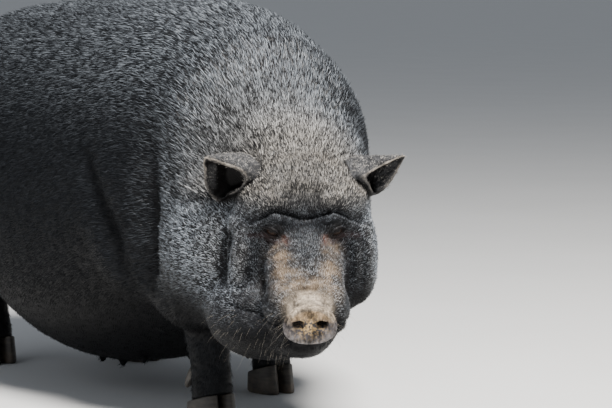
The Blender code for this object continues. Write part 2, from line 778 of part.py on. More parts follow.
def paint(obj, name, color, roughness):
    material = bpy.data.materials.new(name)
    material.use_nodes = True
    shader = material.node_tree.nodes["Principled BSDF"]
    shader.inputs["Base Color"].default_value = (*color, 1)
    shader.inputs["Roughness"].default_value = roughness
    obj.data.materials.clear()
    obj.data.materials.append(material)


def stand_at_origin():
    """Moves every node so that the middle of the whole model's footprint is at the origin."""
    bpy.context.view_layer.update()
    corners = [obj.matrix_world @ Vector(corner) for obj in bpy.data.objects for corner in obj.bound_box]
    x = [corner.x for corner in corners]
    y = [corner.y for corner in corners]
    z = [corner.z for corner in corners]
    centre = Vector(((min(x) + max(x)) / 2, (min(y) + max(y)) / 2, min(z)))
    for obj in bpy.data.objects:
        obj.location -= centre


def main():
    clear_scene()
    torso = flesh()
    legs = part_legs(torso)
    head, jaw, neck = part_head(torso)
    add_teats(torso)
    skin = [torso, neck, head, jaw, *legs.values()]
    snout = make_snout()
    eyes = [make_eye(head, "eye_right", -1), make_eye(head, "eye_left", 1)]
    ears = [
        make_ear(head, "ear_right", EAR_BASE_RIGHT, EAR_RIM_RIGHT),
        make_ear(head, "ear_left", EAR_BASE_LEFT, EAR_RIM_LEFT),
    ]
    tail = make_tail(torso)
    claws = []
    for name, ((x, y), _) in feet().items():
        out = math.copysign(1, x)
        for place, side in (("outer", out), ("inner", -out)):
            claws.append(make_hoof(f"hoof_{name}_{place}", x, y, side))
            claws.append(make_dewclaw(legs[name], f"dewclaw_{name}_{place}", x, y, side))
    for obj in [*skin, *ears, tail]:
        paint(obj, "skin_" + obj.name, (0.055, 0.055, 0.062), 0.6)
    paint(snout, "snout_skin", (0.16, 0.12, 0.09), 0.55)
    for obj in eyes:
        paint(obj, "surface_" + obj.name, (0.03, 0.015, 0.01), 0.1)
    for obj in claws:
        paint(obj, "horn_" + obj.name, (0.09, 0.075, 0.06), 0.5)
    stand_at_origin()


main()
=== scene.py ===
"""Dresses the standing pot-bellied sow: skin, bristles, eyes, hooves, floor, light and camera.

Metres, +Z up. The animal faces -Y with its head turned to its right, which is -X.
"""

import json
import math
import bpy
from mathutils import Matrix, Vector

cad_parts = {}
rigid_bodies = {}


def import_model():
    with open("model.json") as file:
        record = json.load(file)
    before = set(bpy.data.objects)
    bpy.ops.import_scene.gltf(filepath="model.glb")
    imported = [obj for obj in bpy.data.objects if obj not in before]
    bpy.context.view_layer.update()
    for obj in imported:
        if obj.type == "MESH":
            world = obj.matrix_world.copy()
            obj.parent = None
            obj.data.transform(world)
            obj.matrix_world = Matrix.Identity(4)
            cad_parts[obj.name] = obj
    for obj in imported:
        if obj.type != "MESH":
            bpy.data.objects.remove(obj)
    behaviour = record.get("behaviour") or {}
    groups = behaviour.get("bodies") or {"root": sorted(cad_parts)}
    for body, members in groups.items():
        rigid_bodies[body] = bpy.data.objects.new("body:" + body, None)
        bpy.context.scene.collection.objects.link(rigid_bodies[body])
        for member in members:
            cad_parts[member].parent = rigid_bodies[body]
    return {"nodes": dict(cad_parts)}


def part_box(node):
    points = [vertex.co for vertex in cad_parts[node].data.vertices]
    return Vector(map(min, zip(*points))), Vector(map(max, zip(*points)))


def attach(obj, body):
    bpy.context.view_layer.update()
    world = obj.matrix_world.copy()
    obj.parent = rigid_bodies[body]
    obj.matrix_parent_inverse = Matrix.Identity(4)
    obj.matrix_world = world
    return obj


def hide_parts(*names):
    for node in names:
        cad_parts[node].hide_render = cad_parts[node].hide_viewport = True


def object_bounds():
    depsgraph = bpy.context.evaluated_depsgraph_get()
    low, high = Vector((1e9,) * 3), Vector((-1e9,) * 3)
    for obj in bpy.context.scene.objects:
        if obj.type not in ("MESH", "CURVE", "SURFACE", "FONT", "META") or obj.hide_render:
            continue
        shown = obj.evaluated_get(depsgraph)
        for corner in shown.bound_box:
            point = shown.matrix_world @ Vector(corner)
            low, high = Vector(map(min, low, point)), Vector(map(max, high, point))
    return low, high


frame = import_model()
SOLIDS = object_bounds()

from types import SimpleNamespace

import bmesh
import bpy
import numpy as np
from bpy.props import FloatProperty, IntProperty, PointerProperty
from mathutils import Matrix, Vector
from mathutils.bvhtree import BVHTree

bl_info = {
    "name": "Pot-bellied sow",
    "version": (1, 0, 0),
    "blender": (4, 5, 0),
    "location": "View3D > Sidebar > Sow",
    "description": "Dresses the packed model of a standing sow and sets up its stage",
    "category": "Object",
}

FEET = ("front_left", "front_right", "hind_left", "hind_right")
EARS = ("ear_left", "ear_right")
EYES = ("eye_left", "eye_right")
FLESH = ["torso", "neck", "head", "lower_jaw", "snout", *EARS]
FLESH += ["leg_" + foot for foot in FEET]
HORN = [
    f"{kind}_{foot}_{side}" for kind in ("hoof", "dewclaw") for foot in FEET for side in ("inner", "outer")
]

# The head's own frame: origin between the eyes, -Y ahead
HEAD_AT = Vector((-0.106, -0.561, 0.262))
SNOUT_TO_HEAD = Vector((0.04826, 0.08262, 0.09462))
HEAD_TURN = -30.0
NOSE_AT = Vector((0, -0.102, -0.097))
NOSE_DROP = 27.0
NOSTRIL_OUT = 0.0140

# Where each ear grows from, in the head's own frame
EAR_ROOTS = {"ear_right": (-0.066, 0.062, 0.067), "ear_left": (0.064, 0.072, 0.063)}

# The photograph's view
VIEW_AZIMUTH = 34.0
VIEW_DROP = 5.2
VIEW_DISTANCE = 2.9
VIEW_HEIGHT = 0.56
VIEW_ASIDE = 0.002
FOCAL_PIXELS = 2480.0
IMAGE_WIDTH = 612.0
SENSOR_WIDTH = 36.0

# How far each eye looks outward, in degrees, and down
EYE_OUTWARD = 28.0
EYE_DOWN = 0.06

# The slit between the lids, in the eye's own frame
SLIT_SLANT = 26.0
SLIT_AT = -0.0026
SLIT_HALF = 0.0118
SLIT_UP = 0.0032
SLIT_DOWN = 0.0030

# How much the solids are swollen before they are fused, so that the cuts between them close
CUT_SWELL = 0.0005
EYE_SWELL = 0.0012

# The tail's middle line with its radius, placed as in the part's source
TAIL = (
    (0.000, 0.395, 0.428, 0.0145),
    (0.000, 0.428, 0.424, 0.0135),
    (0.002, 0.452, 0.400, 0.0115),
    (0.006, 0.462, 0.355, 0.0095),
    (0.012, 0.462, 0.300, 0.0075),
    (0.018, 0.456, 0.250, 0.0052),
    (0.020, 0.453, 0.232, 0.0028),
)
TAIL_STEPS = 30
TASSEL_FROM = 22

# Side of one hair's patch on the map
PATCH = 0.003

# Colours in linear light
TONES = {
    "coat": (0.009, 0.010, 0.012),
    "crown": (0.011, 0.010, 0.009),
    "face": (0.010, 0.011, 0.014),
    # painted highlight on the ridges of the face
    "ridge": (0.024, 0.023, 0.023),
    # darker in the hollows of the skin: painted shade, with some dirt
    "fold": (0.005, 0.005, 0.006),
    # painted shade in the pressed creases
    "crease": (0.004, 0.004, 0.005),
    "brow": (0.007, 0.007, 0.007),
    # painted shade on the chin and the lower lip, under the disc
    "chin": (0.006, 0.006, 0.007),
    # painted shade in the eye sockets
    "socket": (0.004, 0.004, 0.004),
    "lid": (0.020, 0.017, 0.017),
    "lid_line": (0.090, 0.048, 0.048),
    "eye_corner": (0.160, 0.075, 0.058),
    "ear": (0.075, 0.076, 0.080),
    # dark skin inside each ear's cup, with painted shade
    "ear_cup": (0.0025, 0.002, 0.002),
    "ear_rim": (0.330, 0.290, 0.245),
    "disc": (0.080, 0.073, 0.075),
    "disc_lower_rim": (0.170, 0.160, 0.160),
    "disc_top": (0.300, 0.205, 0.115),
    # pale skin on the disc's upper edge, with a painted highlight
    "disc_upper_rim": (0.300, 0.260, 0.215),
    # painted shade in the nostrils
    "nostril": (0.006, 0.005, 0.005),
    # painted shade: skin that faces down is darkened as if in shadow
    "underside": (0.0035, 0.0035, 0.004),
    "warm_hair": (0.300, 0.270, 0.232),
    "cool_hair": (0.290, 0.322, 0.362),
    # pale bluish hairs, with the bluish white of painted glints on black bristles
    "dust": (0.250, 0.182, 0.122),
    "pale_skin": (0.540, 0.450, 0.350),
    "soil": (0.520, 0.350, 0.160),
    "whisker": (0.26, 0.23, 0.19),
    "lash": (0.012, 0.010, 0.010),
    "tassel": (0.014, 0.013, 0.013),
    "horn": (0.010, 0.009, 0.008),
    "horn_ring": (0.042, 0.036, 0.030),
    "horn_dust": (0.110, 0.085, 0.060),
    "pupil": (0.002, 0.002, 0.002),
    "iris_dark": (0.006, 0.003, 0.002),
    "iris": (0.026, 0.012, 0.006),
    "eyeball": (0.012, 0.008, 0.007),
    "floor_dark": (0.74, 0.74, 0.73),
    "floor": (0.80, 0.80, 0.79),
    "sky": (0.80, 0.86, 0.95),
}

# Soft spots, the same on both sides of the face: share, x, z, width and height in the head's own frame
SPOTS = {
    # painted shade under the brow roll, round the eyes
    "ledge": ((1.0, 0.036, 0.013, 0.026, 0.013), (1.0, 0.008, 0.008, 0.014, 0.009)),
    "dust": (
        (1.0, 0.031, -0.023, 0.010, 0.012),
        (0.9, 0.025, -0.044, 0.012, 0.013),
        (1.2, 0.000, -0.056, 0.025, 0.012),
        (0.25, 0.026, -0.066, 0.014, 0.013),
    ),
    "pale": ((1.0, 0.0, -0.068, 0.020, 0.008), (0.8, 0.022, -0.082, 0.007, 0.011)),
    "eye_corner": ((1.0, 0.0240, -0.0050, 0.0030, 0.0030), (0.8, 0.0220, -0.0095, 0.0024, 0.0036)),
    "lid_line": ((1.0, 0.052, -0.003, 0.014, 0.0035), (1.0, 0.034, -0.010, 0.012, 0.0030)),
    # painted shade round each eye
    "socket": ((0.55, 0.033, 0.001, 0.018, 0.010), (0.45, 0.032, -0.001, 0.010, 0.0045)),
    "slit": ((1.0, 0.032, -0.001, 0.010, 0.0045),),
    "brow": ((1.0, 0.0, 0.040, 0.026, 0.009),),
    # painted highlight on each jowl
    "cheek": ((1.0, 0.122, -0.012, 0.036, 0.045),),
    # painted shadow that the muzzle casts beside the mouth
    "mouth_corner": ((1.0, 0.063, -0.076, 0.020, 0.016),),
}

# Length of the hair: on face and ears, and what body, crown and back add to the face's
FUR = {"face": 0.0036, "ear": 0.0026, "body": 0.0064, "crown": 0.0030, "back": 0.0030}

# Folds of the face from in front: points of x and z in the head's own frame, width and depth.
# A depth under zero stands out. These lie on both sides.
PAIRED_FOLDS = {
    "roll of the brow": ([(0.000, 0.026), (0.020, 0.031), (0.036, 0.036), (0.056, 0.026)], 0.0075, -0.0034),
    "roll over the eye": (
        [(0.014, 0.0110), (0.024, 0.0155), (0.036, 0.0175), (0.048, 0.0120), (0.058, 0.0030)],
        0.0038,
        -0.0008,
    ),
    "crease of the upper lid": ([(0.018, 0.0080), (0.034, 0.0120), (0.050, 0.0060)], 0.0016, 0.0012),
    "inner corner": ([(0.0265, -0.0030), (0.0235, -0.0075), (0.0215, -0.0120)], 0.0018, 0.0022),
    "outer corner": ([(0.0440, 0.0035), (0.0500, 0.0045), (0.0580, 0.0010)], 0.0018, 0.0020),
    "crease of the lower lid": ([(0.026, -0.014), (0.038, -0.012), (0.052, -0.005)], 0.0018, 0.0014),
    "crease under it": ([(0.028, -0.019), (0.042, -0.018), (0.058, -0.010)], 0.0020, 0.0010),
    "groove beside the muzzle": (
        [(0.0495, -0.012), (0.0520, -0.040), (0.0480, -0.064), (0.0495, -0.090)],
        0.0060,
        0.0024,
    ),
    "edge of the muzzle": ([(0.044, -0.020), (0.0455, -0.045), (0.0430, -0.075)], 0.0060, -0.0016),
    "groove behind the disc": (
        [(0.018, -0.062), (0.0225, -0.076), (0.030, -0.091), (0.036, -0.104)],
        0.0032,
        0.0034,
    ),
    "upper end of that groove": ([(0.0165, -0.060), (0.0195, -0.064)], 0.0030, 0.0030),
    "dent over the brow": ([(0.008, 0.046), (0.022, 0.040)], 0.0070, 0.0016),
    "crease toward the ear": ([(0.050, 0.050), (0.068, 0.040), (0.078, 0.026)], 0.0040, 0.0014),
}
BROW_CREASE = [(0.010, 0.0178), (0.024, 0.0234), (0.036, 0.0258), (0.046, 0.0210), (0.057, 0.0145)]
BROW_CREASE.append((0.082, 0.0050))
SINGLE_FOLDS = {
    "crease under the brow": (
        [(-x, z) for x, z in reversed(BROW_CREASE)] + [(0.000, 0.0160)] + BROW_CREASE,
        0.0020,
        0.0044,
    ),
    "first wrinkle of the muzzle": ([(-0.017, -0.0580), (0, -0.0588), (0.017, -0.0580)], 0.0020, 0.0034),
    "second wrinkle": ([(-0.020, -0.0672), (0, -0.0655), (0.020, -0.0672)], 0.0015, 0.0020),
    "third wrinkle": (
        [(-0.022, -0.0760), (-0.010, -0.0715), (0.010, -0.0715), (0.022, -0.0760)],
        0.0013,
        0.0018,
    ),
    "dip of the bridge": ([(-0.024, -0.0485), (0, -0.0500), (0.024, -0.0485)], 0.0024, 0.0010),
    "crease of the right cheek": (
        [(-0.086, 0.006), (-0.092, -0.020), (-0.0955, -0.047), (-0.0965, -0.070)],
        0.0055,
        0.0062,
    ),
    "roll of the right cheek": ([(-0.070, -0.010), (-0.074, -0.040), (-0.074, -0.066)], 0.0090, -0.0034),
    "fine crease of the right cheek": (
        [(-0.064, -0.006), (-0.063, -0.040), (-0.060, -0.070)],
        0.0022,
        0.0014,
    ),
    "crease of the left cheek": (
        [(0.066, 0.004), (0.071, -0.020), (0.072, -0.045), (0.066, -0.072)],
        0.0060,
        0.0030,
    ),
}
FACE_REACH = 0.12
UNDER_EAR = ([(-0.084, 0.040), (-0.105, 0.036), (-0.130, 0.034), (-0.160, 0.030)], 0.0065, 0.0055)
UNDER_EAR_REACH = 0.24
MOUTH = ([(0.004, -0.083), (-0.020, -0.090), (-0.045, -0.098), (-0.078, -0.111)], 0.0020, 0.0034)

# Folds of the body from the side: points of y and z, width, depth, and how much of the left side's
# shift each takes, for the turned head draws the folds of that side backward
LEFT_SHIFT = 0.055
BODY_FOLDS = {
    "before the shoulder": (
        [(-0.338, 0.340), (-0.343, 0.280), (-0.343, 0.226), (-0.325, 0.190), (-0.330, 0.145)],
        0.011,
        0.0060,
        1.0,
    ),
    "behind the shoulder": (
        [(-0.200, 0.345), (-0.235, 0.300), (-0.270, 0.246), (-0.284, 0.196), (-0.300, 0.150)],
        0.010,
        0.0050,
        1.4,
    ),
    "flank": ([(0.150, 0.330), (0.172, 0.260), (0.175, 0.190), (0.195, 0.140)], 0.015, 0.0060, -1.0),
    "neck": ([(-0.372, 0.370), (-0.392, 0.300), (-0.398, 0.235)], 0.008, 0.0030, 1.0),
}
# Depth from which a crease's painted shade is darkest
DARK_DEPTH = 0.005


def head_frame():
    """The head's own frame, placed from the snout's box."""
    low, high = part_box("snout")
    turn = Matrix.Rotation(math.radians(HEAD_TURN), 4, "Z")
    return Matrix.Translation((low + high) / 2 + SNOUT_TO_HEAD) @ turn


def nose_frame():
    """The frame of the snout's disc, which looks along -Y."""
    return head_frame() @ Matrix.Translation(NOSE_AT) @ Matrix.Rotation(math.radians(NOSE_DROP), 4, "X")


def tone(name):
    """A colour with full alpha."""
    return (*TONES[name], 1)


def smooth_step(low, high, values):
    """Zero under low, one over high and a smooth rise between them."""
    t = np.clip((values - low) / (high - low), 0, 1)
    return t * t * (3 - 2 * t)


def fade(low, high, values):
    """One under low, zero over high."""
    return 1 - smooth_step(low, high, values)


def unit(vectors):
    return vectors / np.maximum(np.linalg.norm(vectors, axis=1, keepdims=True), 1e-9)


def coordinates(mesh):
    points = np.empty(len(mesh.vertices) * 3)
    mesh.vertices.foreach_get("co", points)
    return points.reshape(-1, 3)


def vertex_normals(mesh):
    normals = np.empty(len(mesh.vertices) * 3)
    mesh.vertices.foreach_get("normal", normals)
    return normals.reshape(-1, 3)


def place_vertices(mesh, points):
    mesh.vertices.foreach_set("co", points.ravel())
    mesh.update()


def triangle_corners(mesh):
    """The three vertices of every triangle."""
    mesh.calc_loop_triangles()
    corners = np.empty(len(mesh.loop_triangles) * 3, int)
    mesh.loop_triangles.foreach_get("vertices", corners)
    return corners.reshape(-1, 3)


def within(frame_of, points):
    """The points in a frame's own coordinates."""
    turn = np.array(frame_of.to_3x3())
    return (points - np.array(frame_of.translation)) @ turn


def new_object(name, mesh):
    obj = bpy.data.objects.new(name, mesh)
    bpy.context.scene.collection.objects.link(obj)
    return obj


def apply_modifiers(obj):
    """Gives the object the mesh that its modifiers make, and clears them."""
    graph = bpy.context.evaluated_depsgraph_get()
    mesh = bpy.data.meshes.new_from_object(obj.evaluated_get(graph))
    obj.modifiers.clear()
    obj.vertex_groups.clear()
    obj.data = mesh


def weigh(obj, weights):
    """A vertex group from one weight for each vertex, in steps of a twentieth."""
    group = obj.vertex_groups.new(name="weights")
    steps = np.round(np.clip(weights, 0, 1) * 20).astype(int)
    for level in range(1, 21):
        group.add(np.flatnonzero(steps == level).tolist(), level / 20, "REPLACE")
    return group.name


def smooth(obj, weights, iterations):
    """Smooths the surface where the weights are over zero."""
    tool = obj.modifiers.new("smooth", "SMOOTH")
    tool.factor = 0.5
    tool.iterations = iterations
    tool.vertex_group = weigh(obj, weights)
    apply_modifiers(obj)


def thin(obj, chosen, triangles):
    """Reduces the chosen part of the surface to about this many triangles and leaves the rest."""
    corners = triangle_corners(obj.data)
    inside = int(chosen[corners].all(axis=1).sum())
    total = len(corners)
    tool = obj.modifiers.new("thin", "DECIMATE")
    tool.ratio = (total - inside + triangles) / total
    tool.vertex_group = weigh(obj, chosen.astype(float))
    tool.vertex_group_factor = 1000
    apply_modifiers(obj)


def refine(obj, chosen_of):
    """Halves the edges whose ends are both chosen."""
    bm = bmesh.new()
    bm.from_mesh(obj.data)
    chosen = chosen_of(coordinates(obj.data))
    bm.verts.ensure_lookup_table()
    edges = [edge for edge in bm.edges if chosen[edge.verts[0].index] and chosen[edge.verts[1].index]]
    bmesh.ops.subdivide_edges(bm, edges=edges, cuts=1, use_grid_fill=True)
    bm.to_mesh(obj.data)
    bm.free()
    obj.data.update()


def add_tube(bm, path, segments):
    """A closed tube through stations of x, y, z and radius."""
    rings = []
    for i, (x, y, z, radius) in enumerate(path):
        before, after = Vector(path[max(i - 1, 0)][:3]), Vector(path[min(i + 1, len(path) - 1)][:3])
        ahead = (after - before).normalized()
        aside = ahead.orthogonal().normalized() if abs(ahead.x) > 0.9 else Vector((1, 0, 0))
        aside = (aside - ahead * aside.dot(ahead)).normalized()
        third = ahead.cross(aside)
        ring = []
        for k in range(segments):
            angle = 2 * math.pi * k / segments
            out = aside * math.cos(angle) + third * math.sin(angle)
            ring.append(bm.verts.new(Vector((x, y, z)) + radius * out))
        rings.append(ring)
    for low, high in zip(rings, rings[1:]):
        for k in range(segments):
            j = (k + 1) % segments
            bm.faces.new((low[k], low[j], high[j], high[k]))
    bm.faces.new(list(reversed(rings[0])))
    bm.faces.new(rings[-1])


def tail_path():
    """Stations along the tail: x, y, z and radius."""
    stations = np.array(TAIL)
    stations[:, :3] += np.array(head_frame().translation - HEAD_AT)
    steps = np.arange(len(stations))
    at = np.linspace(0, len(stations) - 1, TAIL_STEPS)
    return np.column_stack([np.interp(at, steps, column) for column in stations.T]).tolist()


# Skin


def flesh_source():
    """All the flesh in one mesh of overlapping closed forms, each swollen a little."""
    joined = bmesh.new()
    for name in (*FLESH, *EYES):
        part = bmesh.new()
        part.from_mesh(frame["nodes"][name].data)
        bmesh.ops.remove_doubles(part, verts=part.verts, dist=1e-6)
        bmesh.ops.recalc_face_normals(part, faces=part.faces)
        part.normal_update()
        swell = EYE_SWELL if name in EYES else CUT_SWELL
        for vert in part.verts:
            vert.co += vert.normal * swell
        mesh = bpy.data.meshes.new("part")
        part.to_mesh(mesh)
        part.free()
        joined.from_mesh(mesh)
        bpy.data.meshes.remove(mesh)
    add_tube(joined, tail_path(), 16)
    mesh = bpy.data.meshes.new("skin")
    joined.to_mesh(mesh)
    joined.free()
    return mesh


def press(mesh, frame_of, strokes, reach, mirror=True, taper=5.0, shade=1.0):
    """Presses strokes into the skin as seen along a frame's +Y: points of x and z, width and depth.

    A stroke grows shallow toward its ends, over a longer way where taper is small. How dark the painted
    shade in it is to be, up to shade, is kept on the points as their painted crease shade.
    """
    points = coordinates(mesh)
    normals = vertex_normals(mesh)
    local = within(frame_of, points)
    ahead = -(normals @ np.array(frame_of.to_3x3()))[:, 1]
    seen = np.clip((ahead + 0.1) / 0.3, 0, 1) * np.clip((reach - local[:, 1]) / 0.02, 0, 1)
    chosen = np.flatnonzero(seen > 0)
    flat = local[chosen][:, [0, 2]]
    push = np.zeros(len(chosen))
    dark = np.zeros(len(chosen))
    strokes = list(strokes)
    twins = [([(-x, z) for x, z in path], width, depth) for path, width, depth in strokes] if mirror else []
    for path, width, depth in strokes + twins:
        near = np.full(len(chosen), np.inf)
        share = np.zeros(len(chosen))
        ends = np.array(path, float)
        for i, (a, b) in enumerate(zip(ends, ends[1:])):
            along = np.clip(((flat - a) @ (b - a)) / ((b - a) @ (b - a)), 0, 1)
            away = np.linalg.norm(flat - (a + along[:, None] * (b - a)), axis=1)
            share = np.where(away < near, (i + along) / (len(ends) - 1), share)
            near = np.minimum(near, away)
        full = np.clip(taper * np.minimum(share, 1 - share) + 0.1, 0, 1)
        bell = np.exp(-((near / width) ** 2))
        push += depth * full * bell
        if depth > 0:
            dark = np.maximum(dark, shade * min(depth / DARK_DEPTH, 1) * full * bell)
    points[chosen] -= normals[chosen] * (push * seen[chosen])[:, None]
    place_vertices(mesh, points)
    crease = recall(mesh, "crease")
    crease[chosen] = np.maximum(crease[chosen], dark * seen[chosen])
    store(mesh, "crease", "FLOAT", crease)


def face_folds(mesh):
    """Folds of brow, eyes, muzzle and cheek, the crease under each ear and the line of the mouth."""
    head = head_frame()
    press(mesh, head, PAIRED_FOLDS.values(), FACE_REACH)
    press(mesh, head, SINGLE_FOLDS.values(), FACE_REACH, mirror=False)
    press(mesh, head, [UNDER_EAR], UNDER_EAR_REACH, taper=2.5)
    path, width, depth = MOUTH
    for side in (-1, 1):
        view = head @ Matrix.Rotation(math.radians(side * 90), 4, "Z")
        press(mesh, view, [([(side * y, z) for y, z in path], width, depth)], 0.0, mirror=False)


def body_folds(mesh):
    """Creases before and behind each shoulder, before each ham and over the neck."""
    shift = head_frame().translation - HEAD_AT
    for side, back in ((-1, 0.0), (1, LEFT_SHIFT)):
        view = Matrix.Translation(shift) @ Matrix.Rotation(math.radians(side * 90), 4, "Z")
        strokes = [
            ([(side * (y + share * back), z) for y, z in path], width, depth)
            for path, width, depth, share in BODY_FOLDS.values()
        ]
        # the creases of the body get a weaker painted shade than those of the face
        press(mesh, view, strokes, 0.0, mirror=False, taper=1.6, shade=0.55)


def eye_place(name):
    """Middle and radius of an eye, and its frame: -Y looks out, X is outward from the nose."""
    low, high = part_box(name)
    side = 1 if name == "eye_left" else -1
    outward = Matrix.Rotation(math.radians(side * EYE_OUTWARD), 3, "Z") @ Vector((0, -1, -EYE_DOWN))
    look = (head_frame().to_3x3() @ outward).normalized()
    tilt = Matrix.Rotation(math.radians(-side * SLIT_SLANT), 4, "Y")
    turn = look.to_track_quat("-Y", "Z").to_matrix().to_4x4() @ tilt
    return Matrix.Translation((low + high) / 2) @ turn, (high.z - low.z) / 2, side


def shape_lids(mesh):
    """Opens a slanting slit over each eye and lays thick lids close round the ball."""
    points = coordinates(mesh)
    for name in EYES:
        place, radius, _ = eye_place(name)
        local = within(place, points)
        distance = np.linalg.norm(local, axis=1)
        near = np.flatnonzero((distance < radius + 0.010) & (local[:, 1] < -0.25 * radius))
        x, _, z = local[near].T
        arch = np.clip(1 - (x / SLIT_HALF) ** 2, 0, 1)
        height = z - SLIT_AT
        slit = (np.abs(x) < SLIT_HALF) & (height < SLIT_UP * arch) & (height > -SLIT_DOWN * arch)
        outward = local[near] / distance[near][:, None]
        cover = fade(radius * 0.85, radius + 0.004, np.hypot(x, z))
        thick = np.where(height > 0, 0.0030, 0.0018)
        lid = np.maximum(distance[near], radius + thick * (0.6 + 0.4 * np.clip(np.abs(height) / 0.006, 0, 1)))
        lid = distance[near] * (1 - cover) + np.minimum(lid, radius + 0.0044) * cover
        moved = outward * np.where(slit, radius - 0.0022, lid)[:, None]
        points[near] = moved @ np.array(place.to_3x3()).T + np.array(place.translation)
    place_vertices(mesh, points)


def lid_crease(mesh):
    """Cuts a fine curved crease into the upper and the lower lid."""
    points = coordinates(mesh)
    normals = vertex_normals(mesh)
    for name in EYES:
        x, y, z = within(eye_place(name)[0], points).T
        front = (y < 0) & (np.abs(x) < 0.02) & (np.abs(z) < 0.02)
        upper = SLIT_AT + 0.0082 - 0.0050 * (x / 0.0125) ** 2
        lower = SLIT_AT - 0.0068 + 0.0045 * (x / 0.0125) ** 2
        groove = 0.0013 * np.exp(-(((z - upper) / 0.0014) ** 2))
        groove = groove + 0.0008 * np.exp(-(((z - lower) / 0.0013) ** 2))
        groove *= front * fade(0.010, 0.015, np.abs(x))
        points -= normals * groove[:, None]
    place_vertices(mesh, points)


def neighbour_mean(mesh, values, passes):
    """Values blurred over the mesh's own edges."""
    ends = np.empty(len(mesh.edges) * 2, int)
    mesh.edges.foreach_get("vertices", ends)
    a, b = ends.reshape(-1, 2).T
    count = len(mesh.vertices)
    links = np.bincount(a, minlength=count) + np.bincount(b, minlength=count)
    for _ in range(passes):
        total = [
            np.bincount(a, column[b], count) + np.bincount(b, column[a], count) for column in values.T
        ]
        values = np.column_stack(total) / links[:, None]
    return values


def standing_out(mesh, passes):
    """How far each point stands out of the blurred form: over zero on ridges, under zero in folds."""
    points = coordinates(mesh)
    return np.sum((points - neighbour_mean(mesh, points, passes)) * vertex_normals(mesh), axis=1)


def in_box(name, points, margin):
    """Which points lie in a node's box, or nearer to it than the margin."""
    low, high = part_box(name)
    return np.all((points > np.array(low) - margin) & (points < np.array(high) + margin), axis=1)


def ear_share(points):
    """One on the ears, fading to zero a little way from them."""
    share = np.zeros(len(points))
    graph = bpy.context.evaluated_depsgraph_get()
    for name in EARS:
        tree = BVHTree.FromObject(frame["nodes"][name], graph)
        for index in np.flatnonzero(in_box(name, points, 0.006)):
            away = tree.find_nearest(Vector(points[index]))[3]
            share[index] = max(share[index], 1 - min(1, max(0, (away - 0.0018) / 0.003)))
    return share


def ear_height(points):
    """Zero at an ear's foot and one at its tip."""
    height = np.zeros(len(points))
    for name in EARS:
        low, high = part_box(name)
        rise = high.z - low.z
        tall = smooth_step(low.z + 0.45 * rise, low.z + 0.85 * rise, points[:, 2])
        height = np.where(np.abs(points[:, 0] - (low.x + high.x) / 2) < 0.06, tall, height)
    return height


def in_cup(points, normals, share):
    """One where a point of an ear faces the way that the ear opens."""
    found = np.zeros(len(points))
    for name, root in EAR_ROOTS.items():
        low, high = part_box(name)
        axis = ((low + high) / 2 - head_frame() @ Vector(root)).normalized()
        facing = smooth_step(0.0, 0.25, normals @ np.array(axis))
        found = np.where(in_box(name, points, 0.004) & (share > 0.3), facing, found)
    return found


def eye_distance(points):
    """Distance from the middle of the nearer eye."""
    places = [eye_place(name)[0] for name in EYES]
    return np.min([np.linalg.norm(within(place, points), axis=1) for place in places], axis=0)


def nose_distance(points):
    return np.linalg.norm(within(nose_frame(), points), axis=1)


def trunk_share(points, ears):
    """How much the trunk is smoothed: little near the feet and the tail, and not on head and ears."""
    head = head_frame()
    body = smooth_step(0.06, 0.14, within(head, points)[:, 1]) * (1 - ears)
    shift = head.translation - HEAD_AT
    tail = smooth_step(0.40, 0.42, points[:, 1] - shift.y)
    low = fade(0.10, 0.17, points[:, 2]) * (smooth_step(0.06, 0.08, np.abs(points[:, 0])) + tail)
    return body * (1 - 0.9 * np.clip(low, 0, 1))


def face_share(points, ears):
    """How much the face is smoothed: little at eyes, disc and ears."""
    keep = np.maximum(
        fade(0.014, 0.022, eye_distance(points)), fade(0.012, 0.022, within(nose_frame(), points)[:, 1])
    )
    keep = np.maximum(keep, 0.80 * ears)
    return fade(0.08, 0.16, within(head_frame(), points)[:, 1]) * (1 - 0.85 * keep)


def brow_and_jowl(points):
    """Where the solids' own brow and the corner of the jowl are softened further."""
    local = within(head_frame(), points)
    across = np.abs(local[:, 0])
    brow = smooth_step(0.006, 0.012, local[:, 2]) * fade(0.034, 0.046, local[:, 2])
    brow *= fade(0.080, 0.095, across) * fade(0.05, 0.07, local[:, 1])
    brow *= smooth_step(0.011, 0.015, eye_distance(points))
    corner = smooth_step(0.046, 0.056, across) * smooth_step(-0.130, -0.115, local[:, 2])
    corner *= fade(-0.070, -0.055, local[:, 2]) * fade(0.06, 0.08, local[:, 1])
    return np.clip(brow + corner, 0, 1) * (1 - ear_share(points))


def shape_skin(obj, settings):
    """Fuses, thins, smooths and folds the flesh, and opens the nostrils and the eyes."""
    fuse = obj.modifiers.new("fuse", "REMESH")
    fuse.mode = "VOXEL"
    fuse.voxel_size = settings.voxel
    apply_modifiers(obj)
    points = coordinates(obj.data)
    behind = within(head_frame(), points)[:, 1] > 0.035
    thin(obj, behind & (ear_share(points) < 0.5), settings.body_triangles)
    points = coordinates(obj.data)
    ears = ear_share(points)
    smooth(obj, trunk_share(points, ears), settings.body_smoothing)
    smooth(obj, face_share(coordinates(obj.data), ears), settings.face_smoothing)
    smooth(obj, brow_and_jowl(coordinates(obj.data)), settings.brow_smoothing)
    for reach in (0.024, 0.019):
        refine(obj, lambda places: eye_distance(places) < reach)
    refine(obj, lambda places: nose_distance(places) < 0.050)
    smooth(obj, fade(0.048, 0.056, nose_distance(coordinates(obj.data))), 3)
    body_folds(obj.data)
    face_folds(obj.data)
    carve_nostrils(obj.data)
    shape_lids(obj.data)
    lid_crease(obj.data)
    sink_skin(obj.data, settings)


def sink_skin(mesh, settings):
    """Draws the skin in by the depth of the coat: most on the trunk, nothing on face, ears and feet."""
    points = coordinates(mesh)
    normals = vertex_normals(mesh)
    local = within(head_frame(), points)
    depth = settings.coat_depth * smooth_step(0.05, 0.16, local[:, 1]) * smooth_step(0.05, 0.14, points[:, 2])
    points -= normals * (depth * (1 - ear_share(points)))[:, None]
    place_vertices(mesh, points)


